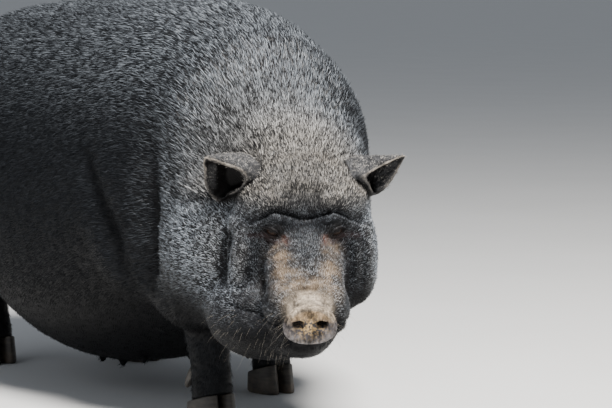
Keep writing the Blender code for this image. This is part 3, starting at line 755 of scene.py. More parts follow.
def lie_of(points, normals):
    """The way the hair points: away from the snout on the head, back along the trunk and down the legs."""
    count = len(points)
    away = unit(points - np.array(nose_frame().translation))
    side = np.clip(points[:, 0] / 0.2, -1, 1)
    back = np.column_stack([0.10 * side, np.ones(count), -0.35 * np.abs(side) - 0.1])
    down = np.column_stack([np.zeros(count), 0.25 * np.ones(count), -np.ones(count)])
    share = smooth_step(0.06, 0.30, within(head_frame(), points)[:, 1])[:, None]
    leg = (fade(0.10, 0.17, points[:, 2]) * smooth_step(0.055, 0.075, np.abs(points[:, 0])))[:, None]
    lie = away * (1 - share) + unit(back) * share
    lie = lie * (1 - leg) + unit(down) * leg
    lie -= normals * np.sum(lie * normals, axis=1, keepdims=True)
    return unit(lie)


def spots(local, name):
    """The soft spots of one name."""
    total = 0
    for share, x, z, wide, high in SPOTS[name]:
        across = (np.abs(local[:, 0]) - x) / wide
        total = total + share * np.exp(-(across**2) - ((local[:, 2] - z) / high) ** 2)
    return total


def regions(mesh):
    """Where the parts of the animal lie on the skin, as shares from zero to one on every point."""
    points = coordinates(mesh)
    normals = vertex_normals(mesh)
    local = within(head_frame(), points)
    nose = within(nose_frame(), points)
    r = SimpleNamespace(points=points, normals=normals, local=local, nose=nose)
    r.across, r.behind, r.height = np.abs(local[:, 0]), local[:, 1], local[:, 2]
    r.front = fade(0.03, 0.07, r.behind)
    r.flank = smooth_step(0.05, 0.20, r.behind)
    r.from_nose = np.hypot(nose[:, 0], nose[:, 2] * 1.15)
    r.disc = fade(0.010, 0.014, nose[:, 1]) * (r.from_nose < 0.040)
    r.ears = ear_share(points)
    fine = standing_out(mesh, 4)
    broad = standing_out(mesh, 24)
    r.cup = in_cup(points, normals, r.ears) * fade(0.00025, 0.0008, fine)
    r.rim = r.ears * smooth_step(0.00035, 0.0009, fine) * (0.30 + 0.70 * ear_height(points))
    # painted shade in the pressed creases, darker where they are deeper
    r.crease = recall(mesh, "crease")
    # Darker in the hollows of the skin, found where it sinks under its blurred form: painted shade, with some
    # dirt
    r.fold = np.clip(-broad / 0.0020, 0, 1) * (1 - r.disc)
    # Painted shade under the brow roll: fewer bright hairs and less painted highlight there
    r.ledge = np.clip(spots(local, "ledge"), 0, 1) * r.front
    # Painted highlight: paler where the skin stands out of its blurred form, less so under the brow
    r.ridge = np.clip(broad / 0.0022, 0, 1) * (1 - r.ears) * r.front * (1 - 0.9 * r.ledge)
    r.dust = np.clip(spots(local, "dust"), 0, 1) * r.front * (1 - r.disc)
    r.pale = np.clip(spots(local, "pale"), 0, 1) * r.front * (1 - r.disc)
    r.eye_corner = np.clip(spots(local, "eye_corner"), 0, 1)
    # Painted shade in the eye sockets
    r.socket = spots(local, "socket")
    r.crown = smooth_step(0.020, 0.050, r.height) * fade(0.05, 0.20, r.behind)
    r.brow = spots(local, "brow") * r.front
    # Painted shade: the chin and the lower lip, darkened as if in the muzzle's shadow
    r.chin = r.front * fade(-0.125, -0.105, r.height) * fade(0.07, 0.09, r.across)
    r.nostrils = np.zeros(len(points))
    for side in (-1, 1):
        along = nose[:, 0] - side * NOSTRIL_OUT
        hole = np.exp(-((along / 0.0075) ** 4) - ((nose[:, 2] - 0.001) / 0.0048) ** 4)
        r.nostrils = np.maximum(r.nostrils, hole)
    soil = np.exp(-((nose[:, 0] / 0.015) ** 2) - ((nose[:, 2] + 0.002) / 0.013) ** 2)
    r.dirt = r.disc * soil * (1 - r.nostrils)
    # Painted shade: the more a surface faces down, the darker it is painted, though not on the disc and the
    # brow
    r.shade = smooth_step(0.05, 0.75, -normals[:, 2]) * (1 - r.disc)
    r.shade = r.shade * (1 - r.front * smooth_step(-0.04, 0.0, r.height))
    r.under = fade(0.08, 0.17, points[:, 2]) * smooth_step(0.2, 0.6, -normals[:, 2])
    r.leg = fade(0.08, 0.16, points[:, 2]) * smooth_step(0.055, 0.075, np.abs(points[:, 0]))
    return r


def marking_of(r):
    """The colour of skin and dark hair: black, with what lies over it laid on in turn."""
    up = r.nose[:, 2]
    lids = np.clip((0.0175 - eye_distance(r.points)) / 0.004, 0, 1) * fade(0.0, 0.6, spots(r.local, "slit"))
    lower_rim = smooth_step(0.018, 0.026, r.from_nose) * r.disc * smooth_step(0.000, 0.020, -up)
    # the disc's upper edge: pale skin with a painted highlight
    upper_rim = smooth_step(0.023, 0.027, r.from_nose) * r.disc * smooth_step(0.000, 0.010, up)
    colour = np.tile(TONES["coat"], (len(r.points), 1))
    for name, amount in (
        ("crown", 0.8 * r.crown),
        ("face", 0.6 * r.front * (1 - r.crown)),
        # painted highlight on the ridges
        ("ridge", 0.6 * r.ridge),
        # painted shade in the hollows, with some dirt
        ("fold", 0.40 * r.fold),
        # painted shade in the creases
        ("crease", 0.70 * r.crease),
        ("brow", 0.60 * r.brow),
        # painted shade on the chin
        ("chin", 0.80 * r.chin),
        # painted shade round the eyes
        ("socket", 0.90 * r.socket * r.front),
        ("lid", 0.50 * lids),
        ("lid_line", 0.35 * np.clip(spots(r.local, "lid_line"), 0, 1) * r.front),
        ("eye_corner", 0.75 * r.eye_corner * r.front),
        ("ear", 0.8 * r.ears),
        # dark skin with painted shade in the ear's cup
        ("ear_cup", 0.98 * r.cup),
        ("ear_rim", 0.90 * r.rim * (1 - r.cup)),
        ("disc", 0.97 * r.disc),
        ("disc_lower_rim", 0.34 * lower_rim),
        ("disc_top", 0.70 * r.disc * smooth_step(0.001, 0.012, up)),
        # pale skin and painted highlight on the disc's upper edge
        ("disc_upper_rim", 0.60 * upper_rim),
        # painted shade in the nostrils
        ("nostril", 0.95 * r.nostrils * r.disc),
        # painted shade on everything that faces down
        ("underside", 0.8 * r.shade),
    ):
        colour = colour * (1 - amount[:, None]) + np.array(TONES[name]) * amount[:, None]
    return colour


def gleam_of(r):
    """Painted light and shade as bright hairs: most where light from above reaches, fewest in folds and
    underneath.
    """
    middle = np.exp(-((r.local[:, 0] / 0.050) ** 2)) * smooth_step(-0.050, -0.020, r.height) * r.front
    # painted shade: fewer bright hairs low on the head, on the chin and down the middle of the face
    head = (0.03 + 0.97 * smooth_step(-0.118, -0.052, r.height)) * (1 - 0.9 * r.chin) * (1 - 0.40 * middle)
    head *= 1 - r.shade
    # painted light on the trunk: brighter high up and where it faces up, darker toward the rear
    body = 0.05 + 0.85 * smooth_step(0.33, 0.53, r.points[:, 2])
    body = body * smooth_step(-0.75, 0.55, r.normals[:, 2])
    body *= 1 - 0.40 * smooth_step(-0.22, 0.12, r.points[:, 1])
    gleam = body * r.flank + head * (1 - r.flank)
    # painted shade under the brow and in the muzzle's shadow beside the mouth
    gleam *= (1 - 0.55 * r.ledge) * (1 - 0.50 * spots(r.local, "mouth_corner") * r.front)
    folded = (1 - 0.70 * r.crease) * (1 - 0.45 * r.brow) * (1 - 0.45 * r.fold)
    gleam *= folded * (1 - 0.75 * r.socket * r.front)
    return np.clip(gleam, 0, 1) * (1 - 0.85 * r.cup)


def bright_hair_of(r):
    """Bright hair: warm on the crown, and on the face's ridges as painted highlight; cool, as bluish painted
    glints, elsewhere.
    """
    warm = np.clip(0.8 * r.crown * fade(0.06, 0.14, r.behind) + 0.35 * r.ridge, 0, 1)[:, None]
    # bright hairs: warm hair on the crown, bluish painted glints elsewhere
    light = np.array(TONES["warm_hair"]) * warm + np.array(TONES["cool_hair"]) * (1 - warm)
    # painted highlight on the jowls
    light *= 1 + 0.16 * (spots(r.local, "cheek") * fade(0.10, 0.22, r.behind))[:, None]
    # painted highlight on the left cheek; the trunk's bright hairs are darker
    light *= (1 + 0.5 * smooth_step(0.062, 0.090, r.local[:, 0]) * r.front - 0.34 * r.flank)[:, None]
    light *= 1 - 0.42 * (r.front * (1 - r.crown) * fade(0.070, 0.090, r.across))[:, None]
    return light


def fur_of(r):
    """Length of the hair: shortest on ears, face and feet."""
    fur = FUR["face"] + FUR["body"] * smooth_step(0.02, 0.15, r.behind) + FUR["crown"] * r.crown
    fur += FUR["back"] * smooth_step(0.30, 0.50, r.points[:, 2]) * r.flank
    fur = fur * (1 - r.ears) + FUR["ear"] * r.ears
    return fur * (1 - 0.40 * np.clip(r.leg + r.under, 0, 1))


def cover_of(r):
    """How close together the tufts stand, against one on the trunk."""
    cover = 1 + 2.4 * fade(0.06, 0.18, r.behind)
    cover *= (
        (1 - r.disc)
        * (1 - np.clip(1.4 * r.pale, 0, 0.97))
        * (1 - 0.9 * r.rim)
        * (1 - 0.95 * r.cup)
        * (1 - 0.5 * r.ears)
    )
    cover *= smooth_step(0.0125, 0.0170, eye_distance(r.points)) * (1 - 0.9 * r.eye_corner)
    over_feet = smooth_step(0.034, 0.046, r.points[:, 2]) + (np.abs(r.points[:, 0]) < 0.06)
    cover *= np.clip(over_feet, 0, 1)
    cover *= (1 - 0.75 * r.under) * (1 - 0.6 * r.crease)
    return np.clip(cover, 0, 4)


def grain_about(points, middle, scale, along):
    """Room for streaks along the lie: two directions round a middle line, and one along it."""
    return np.column_stack([unit(points - middle) * scale, along])


def paint(mesh):
    """Stores markings with their painted shade and highlight, painted light, hair length, cover, lie and
    grain on the skin's points.
    """
    r = regions(mesh)
    count = len(r.points)
    round_body = r.points[:, [0, 2]]
    values = (
        ("marking", "FLOAT_COLOR", np.column_stack([marking_of(r), np.ones(count)])),
        ("light_hair", "FLOAT_COLOR", np.column_stack([bright_hair_of(r), np.ones(count)])),
        ("gleam", "FLOAT", gleam_of(r)),
        ("dust", "FLOAT", r.dust),
        ("pale", "FLOAT", r.pale),
        ("dirt", "FLOAT", r.dirt),
        ("fur", "FLOAT", fur_of(r)),
        ("cover", "FLOAT", cover_of(r)),
        ("lie", "FLOAT_VECTOR", lie_of(r.points, r.normals)),
        ("grain_head", "FLOAT_VECTOR", grain_about(r.nose[:, [0, 2]], 0, 0.09, nose_distance(r.points))),
        ("grain_body", "FLOAT_VECTOR", grain_about(round_body, (0, 0.29), 0.22, r.points[:, 1])),
        ("grain_nose", "FLOAT_VECTOR", r.nose * (1, 1, 0.30)),
        ("body_share", "FLOAT", smooth_step(0.10, 0.22, r.behind)),
        ("bare", "FLOAT", np.clip(r.disc + 0.6 * r.pale, 0, 1)),
    )
    for name, kind, column in values:
        store(mesh, name, kind, column)


def carve_nostrils(mesh):
    """Sinks two comma-shaped nostrils and a shallow dish into the disc."""
    points = coordinates(mesh)
    frame_of = nose_frame()
    nose = within(frame_of, points)
    front = fade(0.006, 0.011, nose[:, 1])
    reach = np.hypot(nose[:, 0] / 0.0308, nose[:, 2] / 0.0262)
    sink = 0.0017 * fade(0.66, 0.90, reach)
    for side in (-1, 1):
        along = (nose[:, 0] - side * NOSTRIL_OUT) * side
        height = nose[:, 2] - 0.0012 - 0.18 * along
        hole = np.exp(-((along / 0.0064) ** 6) - (height / (0.0040 - 0.10 * along)) ** 6)
        sink = np.maximum(sink, 0.0090 * hole)
    points += np.outer(sink * front, np.array(frame_of.to_3x3() @ Vector((0, 1, 0))))
    place_vertices(mesh, points)


def recall(mesh, name):
    """A stored value on every point, or zeros."""
    values = np.zeros(len(mesh.vertices), np.float32)
    if name in mesh.attributes:
        mesh.attributes[name].data.foreach_get("value", values)
    return values


def store(mesh, name, kind, values):
    """Keeps a value on every point under a name."""
    attribute = mesh.attributes.get(name) or mesh.attributes.new(name, kind, "POINT")
    key = {"FLOAT": "value", "FLOAT_VECTOR": "vector", "FLOAT_COLOR": "color"}[kind]
    attribute.data.foreach_set(key, np.asarray(values, np.float32).ravel())


def unwrap(obj):
    """Lays the skin out flat, as a map named OFBake."""
    obj.data.uv_layers.new(name="OFBake")
    bpy.context.view_layer.objects.active = obj
    bpy.ops.object.select_all(action="DESELECT")
    obj.select_set(True)
    bpy.ops.object.mode_set(mode="EDIT")
    bpy.ops.mesh.select_all(action="SELECT")
    bpy.ops.uv.smart_project(angle_limit=math.radians(60), island_margin=0.004)
    bpy.ops.object.mode_set(mode="OBJECT")


# Materials


def fill_inputs(tree, node, inputs):
    """Links the sockets among the inputs and sets the other values."""
    for key, value in dict(inputs).items():
        if isinstance(value, bpy.types.NodeSocket):
            tree.links.new(value, node.inputs[key])
        else:
            node.inputs[key].default_value = value


def add_node(tree, kind, inputs, settings):
    """A new node with its settings and inputs."""
    node = tree.nodes.new(kind)
    for key, value in settings.items():
        setattr(node, key, value)
    fill_inputs(tree, node, inputs)
    return node


class Shader:
    """A material's node tree with short ways to add and link nodes."""

    def __init__(self, name):
        self.material = bpy.data.materials.new(name)
        self.material.use_nodes = True
        self.tree = self.material.node_tree
        self.shader = self.tree.nodes["Principled BSDF"]

    def add(self, kind, inputs=(), **settings):
        return add_node(self.tree, kind, inputs, settings)

    def attribute(self, name, output="Fac"):
        return self.add("ShaderNodeAttribute", attribute_name=name).outputs[output]

    def place(self):
        return self.add("ShaderNodeTexCoord").outputs["Object"]

    def stretch(self, vector, by):
        return self.add("ShaderNodeVectorMath", {0: vector, 1: by}, operation="MULTIPLY").outputs[0]

    def noise(self, vector, scale, detail=3.0):
        node = self.add("ShaderNodeTexNoise", {"Vector": vector, "Scale": scale, "Detail": detail})
        return node.outputs["Fac"]

    def mix(self, factor, a, b, blend="MIX"):
        inputs = {0: factor, 6: a, 7: b}
        return self.add("ShaderNodeMix", inputs, data_type="RGBA", blend_type=blend).outputs[2]

    def between(self, factor, a, b):
        """A number between two others."""
        return self.add("ShaderNodeMix", {0: factor, 2: a, 3: b}, data_type="FLOAT").outputs[0]

    def dimmed(self, colour, by):
        """A colour times a number."""
        grey = self.add("ShaderNodeCombineColor", {"Red": by, "Green": by, "Blue": by}).outputs[0]
        return self.mix(1.0, colour, grey, "MULTIPLY")

    def ramp(self, value, low, high, to_low=0.0, to_high=1.0):
        inputs = {"Value": value, "From Min": low, "From Max": high, "To Min": to_low, "To Max": to_high}
        return self.add("ShaderNodeMapRange", inputs).outputs["Result"]

    def math(self, operation, a, b=0.0):
        return self.add("ShaderNodeMath", {0: a, 1: b}, operation=operation).outputs[0]

    def times(self, a, b):
        return self.math("MULTIPLY", a, b)

    def bump(self, height, distance, strength=1.0, normal=None):
        inputs = {"Height": height, "Distance": distance, "Strength": strength}
        if normal is not None:
            inputs["Normal"] = normal
        return self.add("ShaderNodeBump", inputs).outputs["Normal"]

    def finish(self, **inputs):
        """The material, with these inputs of its shader; an underscore stands for a space."""
        fill_inputs(self.tree, self.shader, {key.replace("_", " "): inputs[key] for key in inputs})
        return self.material


def stretched(s, name, scale):
    """Fine streaks along the lie of the coat, from a stored grain: two directions across and one along."""
    return s.noise(s.stretch(s.attribute(name, "Vector"), (1.0, 1.0, 0.10)), scale, 2.0)


def marked(s, place, marking):
    """The markings with dust, pale skin and dirt, all broken up by noise."""
    patchy = s.ramp(s.noise(place, 75.0, 4.0), 0.40, 0.60, 0.25, 1.0)
    dust = s.times(s.times(s.attribute("dust"), patchy), 0.80)
    colour = s.mix(dust, marking, tone("dust"))
    pale = s.times(s.attribute("pale"), s.ramp(s.noise(place, 160.0, 3.0), 0.35, 0.6, 0.4, 0.95))
    colour = s.mix(pale, colour, tone("pale_skin"))
    speck = s.ramp(s.noise(place, 330.0, 3.0), 0.46, 0.56)
    return s.mix(s.times(s.attribute("dirt"), speck), colour, tone("soil"))


def skin_material():
    """Skin with the streaks of the coat on it, and bare and wrinkled on the disc."""
    s = Shader("sow_skin")
    place = s.place()
    bare = s.attribute("bare")
    streaks = s.between(
        s.attribute("body_share"), stretched(s, "grain_head", 900.0), stretched(s, "grain_body", 700.0)
    )
    wrinkle = s.noise(s.attribute("grain_nose", "Vector"), 420.0, 4.0)
    streak = s.between(bare, streaks, wrinkle)
    cloud = s.noise(place, 14.0, 4.0)
    speck = s.noise(place, 420.0, 3.0)
    shade = s.times(s.ramp(streak, 0.3, 0.7, 0.5, 1.6), s.ramp(cloud, 0.3, 0.7, 0.8, 1.25))
    shade = s.times(shade, s.ramp(speck, 0.3, 0.7, 0.8, 1.22))
    mottle = s.ramp(s.noise(place, 90.0, 6.0), 0.36, 0.64, 0.32, 1.50)
    shade = s.times(shade, s.mix(bare, (0.55, 0.55, 0.55, 1), mottle))
    colour = s.dimmed(marked(s, place, s.attribute("marking", "Color")), shade)
    pore = s.add("ShaderNodeTexVoronoi", {"Vector": place, "Scale": 520.0}, feature="F1").outputs["Distance"]
    coarse = s.noise(place, 90.0, 4.0)
    normal = s.bump(streak, 0.0010, 0.8)
    normal = s.bump(coarse, 0.0016, s.ramp(bare, 0.0, 1.0, 0.35, 0.90), normal)
    normal = s.bump(wrinkle, 0.0040, s.ramp(bare, 0.0, 1.0, 0.0, 0.75), normal)
    normal = s.bump(pore, 0.0006, 0.40, normal)
    rough = s.ramp(bare, 0.0, 1.0, 0.52, 0.45)
    return s.finish(Base_Color=colour, Roughness=rough, Normal=normal, Specular_IOR_Level=0.10)


def bristle_material():
    """Mostly black bristles with some bright ones between them, as many as the painted light gives."""
    s = Shader("sow_bristles")
    luck = s.math("FRACT", s.math("ADD", s.attribute("luck"), s.attribute("strand")))
    gleam = s.attribute("gleam")
    share = s.times(s.ramp(luck, 0.40, 0.95), gleam)
    colour = s.mix(share, s.attribute("marking", "Color"), s.attribute("light_hair", "Color"))
    colour = s.dimmed(marked(s, s.place(), colour), s.ramp(luck, 0.0, 1.0, 0.50, 1.35))
    # the bristles are glossier where the painted light is brighter
    gloss = s.ramp(gleam, 0.0, 1.0, 0.04, 0.36)
    return s.finish(Base_Color=colour, Roughness=0.42, Specular_IOR_Level=gloss)


def horn_material():
    """Dark horn in fine rings, dusty near the ground."""
    s = Shader("sow_horn")
    place = s.place()
    rings = s.noise(s.stretch(place, (0.25, 0.25, 1.0)), 260.0, 3.0)
    dirt = s.noise(place, 70.0, 5.0)
    height = s.add("ShaderNodeSeparateXYZ", {0: place}).outputs["Z"]
    dusty = s.times(s.ramp(height, 0.026, 0.001, 0.05, 0.9), s.ramp(dirt, 0.38, 0.62, 0.1, 1.0))
    base = s.mix(s.ramp(rings, 0.35, 0.65), tone("horn"), tone("horn_ring"))
    colour = s.mix(dusty, base, tone("horn_dust"))
    normal = s.bump(dirt, 0.0010, 0.4, s.bump(rings, 0.0008, 0.5))
    return s.finish(Base_Color=colour, Roughness=0.55, Normal=normal)


def eye_material():
    """Dark brown iris round a black pupil, on a nearly black ball."""
    s = Shader("sow_eye")
    spot = s.attribute("iris")
    brown = s.mix(s.noise(s.place(), 900.0, 2.0), tone("iris_dark"), tone("iris"))
    inner = s.mix(s.ramp(spot, 0.30, 0.36), tone("pupil"), brown)
    colour = s.mix(s.ramp(spot, 0.72, 0.84), inner, tone("eyeball"))
    return s.finish(Base_Color=colour, Roughness=0.05, Specular_IOR_Level=0.09)


# Coat

TUFT_SHAPES = 4
STRANDS = 3
# Between the strands of a tuft: gap over length, step in luck, and gap and width on the patch
STRAND_GAP = 0.26
STRAND_LUCK = 0.09
PATCH_GAP = 0.33
PATCH_WIDTH = 0.3
# A tuft's width: part of its length, and what is added to that
TUFT_SPREAD = 0.30
TUFT_WIDTH = 0.0076

# What the skin's points carry and the coat doesn't keep
DROPPED = ("lie", "fur", "cover", "root", "patch", "grain_head", "grain_body", "grain_nose")
DROPPED += ("body_share", "bare", "crease")


def tuft_mesh(name, seed, settings):
    """Three flat tapered bristles of unit length along +Y that rise and bend over."""
    rng = np.random.default_rng(seed)
    bm = bmesh.new()
    patch, strands = [], []
    for k in range(STRANDS):
        root = Vector((STRAND_GAP * (k - 1) + rng.uniform(-0.06, 0.06), rng.uniform(-0.25, 0.15), -0.03))
        yaw = rng.uniform(-0.26, 0.26)
        length = rng.uniform(0.75, 1.0)
        across = Vector((math.cos(yaw), -math.sin(yaw), rng.uniform(-0.5, 0.5))).normalized()
        along = Vector((math.sin(yaw), math.cos(yaw), 0))
        stations = [(0.0, 0.0, 1.0), (0.52, 0.10, 0.85), (1.0, rng.uniform(0.05, 0.13), 0.0)]
        rows = []
        for t, rise, width in stations:
            middle = root + along * (t * length) + Vector((0, 0, rise))
            half = across * (settings.width * width / 2)
            ends = [middle - half, middle + half] if width else [middle]
            rows.append([bm.verts.new(point) for point in ends])
            for i in range(len(ends)):
                u = (i - 0.5) * PATCH_WIDTH if width else 0.0
                patch.append((u + (k - 1) * PATCH_GAP, t - 0.5, 0))
            strands += [STRAND_LUCK * k] * len(ends)
        bm.faces.new((rows[0][0], rows[0][1], rows[1][1], rows[1][0]))
        bm.faces.new((rows[1][0], rows[1][1], rows[2][0]))
    mesh = bpy.data.meshes.new(name)
    bm.to_mesh(mesh)
    bm.free()
    store(mesh, "patch", "FLOAT_VECTOR", np.array(patch) * PATCH)
    store(mesh, "strand", "FLOAT", strands)
    return mesh


def bristle_tree(tufts, material):
    """Scatters tufts over the skin along its lie, with a patch of the map for each."""
    tree = bpy.data.node_groups.new("bristles", "GeometryNodeTree")
    face = tree.interface
    face.new_socket("Geometry", in_out="INPUT", socket_type="NodeSocketGeometry")
    face.new_socket("Geometry", in_out="OUTPUT", socket_type="NodeSocketGeometry")
    for name, kind, value in (
        ("Density", "NodeSocketFloat", 1000.0),
        ("Lift", "NodeSocketFloat", 0.2),
        ("Stray", "NodeSocketFloat", 0.2),
        ("Seed", "NodeSocketInt", 0),
    ):
        face.new_socket(name, in_out="INPUT", socket_type=kind).default_value = value

    def add(kind, inputs=(), **settings):
        return add_node(tree, kind, inputs, settings)

    def named(name, kind):
        return add("GeometryNodeInputNamedAttribute", {"Name": name}, data_type=kind).outputs["Attribute"]

    def stored(geometry, name, value, kind, domain="INSTANCE"):
        inputs = {"Geometry": geometry, "Name": name, "Value": value}
        return add("GeometryNodeStoreNamedAttribute", inputs, data_type=kind, domain=domain).outputs[0]

    def plus(a, b):
        return add("ShaderNodeVectorMath", {0: a, 1: b}, operation="ADD").outputs[0]

    def scaled(a, by):
        return add("ShaderNodeVectorMath", {0: a, "Scale": by}, operation="SCALE").outputs[0]

    def number(operation, a, b):
        return add("ShaderNodeMath", {0: a, 1: b}, operation=operation).outputs[0]

    def random_vector(offset):
        inputs = {"Min": (-1, -1, -1), "Max": (1, 1, 1), "Seed": number("ADD", given["Seed"], offset)}
        return add("FunctionNodeRandomValue", inputs, data_type="FLOAT_VECTOR").outputs["Value"]

    def random_number(low, high, offset):
        inputs = {2: low, 3: high, "Seed": number("ADD", given["Seed"], offset)}
        return add("FunctionNodeRandomValue", inputs, data_type="FLOAT").outputs[1]

    def aligned(axis, pivot, **inputs):
        return add("FunctionNodeAlignRotationToVector", inputs, axis=axis, pivot_axis=pivot).outputs[0]

    given = add("NodeGroupInput").outputs
    scatter = add(
        "GeometryNodeDistributePointsOnFaces",
        {
            "Mesh": given["Geometry"],
            "Density": number("MULTIPLY", given["Density"], named("cover", "FLOAT")),
            "Seed": given["Seed"],
        },
    ).outputs
    roots = add("GeometryNodeCaptureAttribute", {"Geometry": scatter["Points"]})
    roots.capture_items.new("VECTOR", "up")
    tree.links.new(scatter["Normal"], roots.inputs[1])
    up = roots.outputs[1]
    aim = plus(named("lie", "FLOAT_VECTOR"), scaled(up, given["Lift"]))
    aim = plus(aim, scaled(random_vector(11), given["Stray"]))
    roll = plus(up, scaled(random_vector(23), 0.45))
    turn = aligned("Z", "Y", Rotation=aligned("Y", "AUTO", Vector=aim), Vector=roll)
    length = number("MULTIPLY", named("fur", "FLOAT"), random_number(0.6, 1.2, 37))
    wide = number("ADD", number("MULTIPLY", length, TUFT_SPREAD), TUFT_WIDTH)
    pick = {4: 0, 5: len(tufts.objects) - 1, "Seed": given["Seed"]}
    grown = add(
        "GeometryNodeInstanceOnPoints",
        {
            "Points": roots.outputs[0],
            "Instance": add("GeometryNodeCollectionInfo", {0: tufts, 1: True, 2: True}).outputs[0],
            "Pick Instance": True,
            "Instance Index": add("FunctionNodeRandomValue", pick, data_type="INT").outputs[2],
            "Rotation": turn,
            "Scale": add("ShaderNodeCombineXYZ", {"X": wide, "Y": length, "Z": length}).outputs[0],
        },
    ).outputs[0]
    grown = stored(grown, "luck", random_number(0.0, 1.0, 51), "FLOAT")
    grown = stored(grown, "root", named("OFBake", "FLOAT_VECTOR"), "FLOAT_VECTOR")
    real = add("GeometryNodeRealizeInstances", {"Geometry": grown}).outputs[0]
    spot = plus(named("root", "FLOAT_VECTOR"), named("patch", "FLOAT_VECTOR"))
    last = stored(real, "OFBake", spot, "FLOAT2", "CORNER")
    for name in DROPPED:
        last = add("GeometryNodeRemoveAttribute", {"Geometry": last, "Name": name}).outputs[0]
    done = add("GeometryNodeSetMaterial", {"Geometry": last, "Material": material}).outputs[0]
    add("NodeGroupOutput", {0: done})
    return tree


def covered_area(mesh):
    """Area of the skin times its cover."""
    corners = triangle_corners(mesh)
    areas = np.empty(len(corners))
    mesh.loop_triangles.foreach_get("area", areas)
    cover = np.empty(len(mesh.vertices))
    mesh.attributes["cover"].data.foreach_get("value", cover)
    return float((areas * cover[corners].mean(axis=1)).sum())


def keep_in_bounds(mesh, limits):
    """Moves points that lie past the solids' own bounds back to them."""
    points = coordinates(mesh)
    low, high = (np.array(tuple(end)) for end in limits)
    place_vertices(mesh, np.clip(points, low, high))


def grow_layer(skin, tree, name, inputs):
    """One layer of the coat, as a plain mesh."""
    layer = new_object(name, skin.data.copy())
    layer.data.materials.clear()
    tool = layer.modifiers.new("bristles", "NODES")
    tool.node_group = tree
    for item in tree.interface.items_tree:
        if item.item_type == "SOCKET" and item.in_out == "INPUT" and item.name in inputs:
            tool[item.identifier] = inputs[item.name]
    apply_modifiers(layer)
    return layer


# Long hairs

# A third of a turn
THIRD_TURN = 2.094


def map_at(skin, tree, point):
    """The place on the skin's map nearest a point, and the skin's own point and normal."""
    spot, normal, index, _ = tree.find_nearest(point)
    layer = skin.data.uv_layers["OFBake"].uv
    face = skin.data.polygons[index]
    return sum((layer[i].vector for i in face.loop_indices), Vector((0, 0))) / face.loop_total, spot, normal


def add_hair(bm, uv_layer, path, radius, spot):
    """A thin three-sided tapered hair through the points of a path, with one patch of the map."""
    rings = []
    last = len(path) - 1
    for i, point in enumerate(path):
        ahead = (path[min(i + 1, last)] - path[max(i - 1, 0)]).normalized()
        aside = ahead.orthogonal().normalized()
        third = ahead.cross(aside)
        size = radius * (1 - 0.85 * i / last)
        outs = [aside * math.cos(THIRD_TURN * k) + third * math.sin(THIRD_TURN * k) for k in range(3)]
        rings.append([bm.verts.new(point + size * out) for out in outs])
    for i, (low, high) in enumerate(zip(rings, rings[1:])):
        for k in range(3):
            j = (k + 1) % 3
            face = bm.faces.new((low[k], low[j], high[j], high[k]))
            for loop, (u, v) in zip(face.loops, ((k, i), (k + 1, i), (k + 1, i + 1), (k, i + 1))):
                loop[uv_layer].uv = spot + Vector((u / 3 - 0.5, v / last - 0.5)) * PATCH
    bm.faces.new(rings[-1])


def hair_piece(name, hairs, material):
    """One piece from hairs given as path, radius and place on the map."""
    bm = bmesh.new()
    uv_layer = bm.loops.layers.uv.new("OFBake")
    for path, radius, spot in hairs:
        add_hair(bm, uv_layer, path, radius, spot)
    mesh = bpy.data.meshes.new(name)
    bm.to_mesh(mesh)
    bm.free()
    mesh.materials.append(material)
    return new_object(name, mesh)


def bent_path(start, heading, droop, length, steps=5):
    """Points of a hair that starts along a heading and droops."""
    points = [start]
    direction = heading.normalized()
    for _ in range(steps):
        points.append(points[-1] + direction * (length / steps))
        direction = (direction + droop / steps).normalized()
    return points


# Settings


class SowSkinSettings(bpy.types.PropertyGroup):
    """How the fused skin is made"""

    voxel: FloatProperty(name="Voxel", description="Grid of the fused skin", default=0.0020, unit="LENGTH")
    body_triangles: IntProperty(
        name="Body triangles", description="Triangles of the trunk and legs", default=58000
    )
    body_smoothing: IntProperty(name="Body smoothing", description="Passes over the trunk", default=16)
    face_smoothing: IntProperty(name="Face smoothing", description="Passes over the face", default=14)
    brow_smoothing: IntProperty(name="Brow smoothing", description="Passes over brow and jowl", default=45)
    coat_depth: FloatProperty(
        name="Coat depth",
        description="How far the skin lies inside the solids",
        default=0.0030,
        unit="LENGTH",
    )


class SowCoatSettings(bpy.types.PropertyGroup):
    """How the coat of bristles grows"""

    layers: IntProperty(name="Layers", description="Pieces of the coat", default=7)
    tufts: IntProperty(name="Tufts", description="Tufts in each layer", default=21600)
    width: FloatProperty(name="Width", description="Width of a bristle over its tuft's", default=0.060)
    lift: FloatProperty(name="Lift", description="How far bristles stand off the skin", default=0.12)
    stray: FloatProperty(name="Stray", description="How far bristles leave the lie", default=0.17)
    seed: IntProperty(name="Seed", description="Start of the random draws", default=5)


class SowStageSettings(bpy.types.PropertyGroup):
    """Strength of the lights"""

    key: FloatProperty(name="Key light", description="Power of the high light", default=360.0, unit="POWER")
    fill: FloatProperty(name="Fill light", description="Power of the low light", default=12.0, unit="POWER")
    sky: FloatProperty(name="Sky", description="Strength of the pale surroundings", default=0.30)


# Operators

HOOF_BEVEL = 0.0016
DEWCLAW_BEVEL = 0.0008

# Chin whiskers of the right and of the left side, lashes of an eye and hairs of the tassel
WHISKER_COUNTS = ((-1, 64), (1, 30))
LASHES = 26
LASH_REACH = 0.0085
TASSEL_HAIRS = 420
WHISKER_RADIUS = 0.00010
LASH_RADIUS = 0.00016
TASSEL_RADIUS = 0.00034

FLOOR_RADIUS = 150
# Size and colour of each light, and how far it stands aside, ahead and up from the neck
LIGHTS = {
    "key": (1.0, (1.0, 0.97, 0.93), (0.5, -1.5, 2.7)),
    "fill": (2.5, (0.90, 0.94, 1.0), (-2.4, -1.6, 1.2)),
}


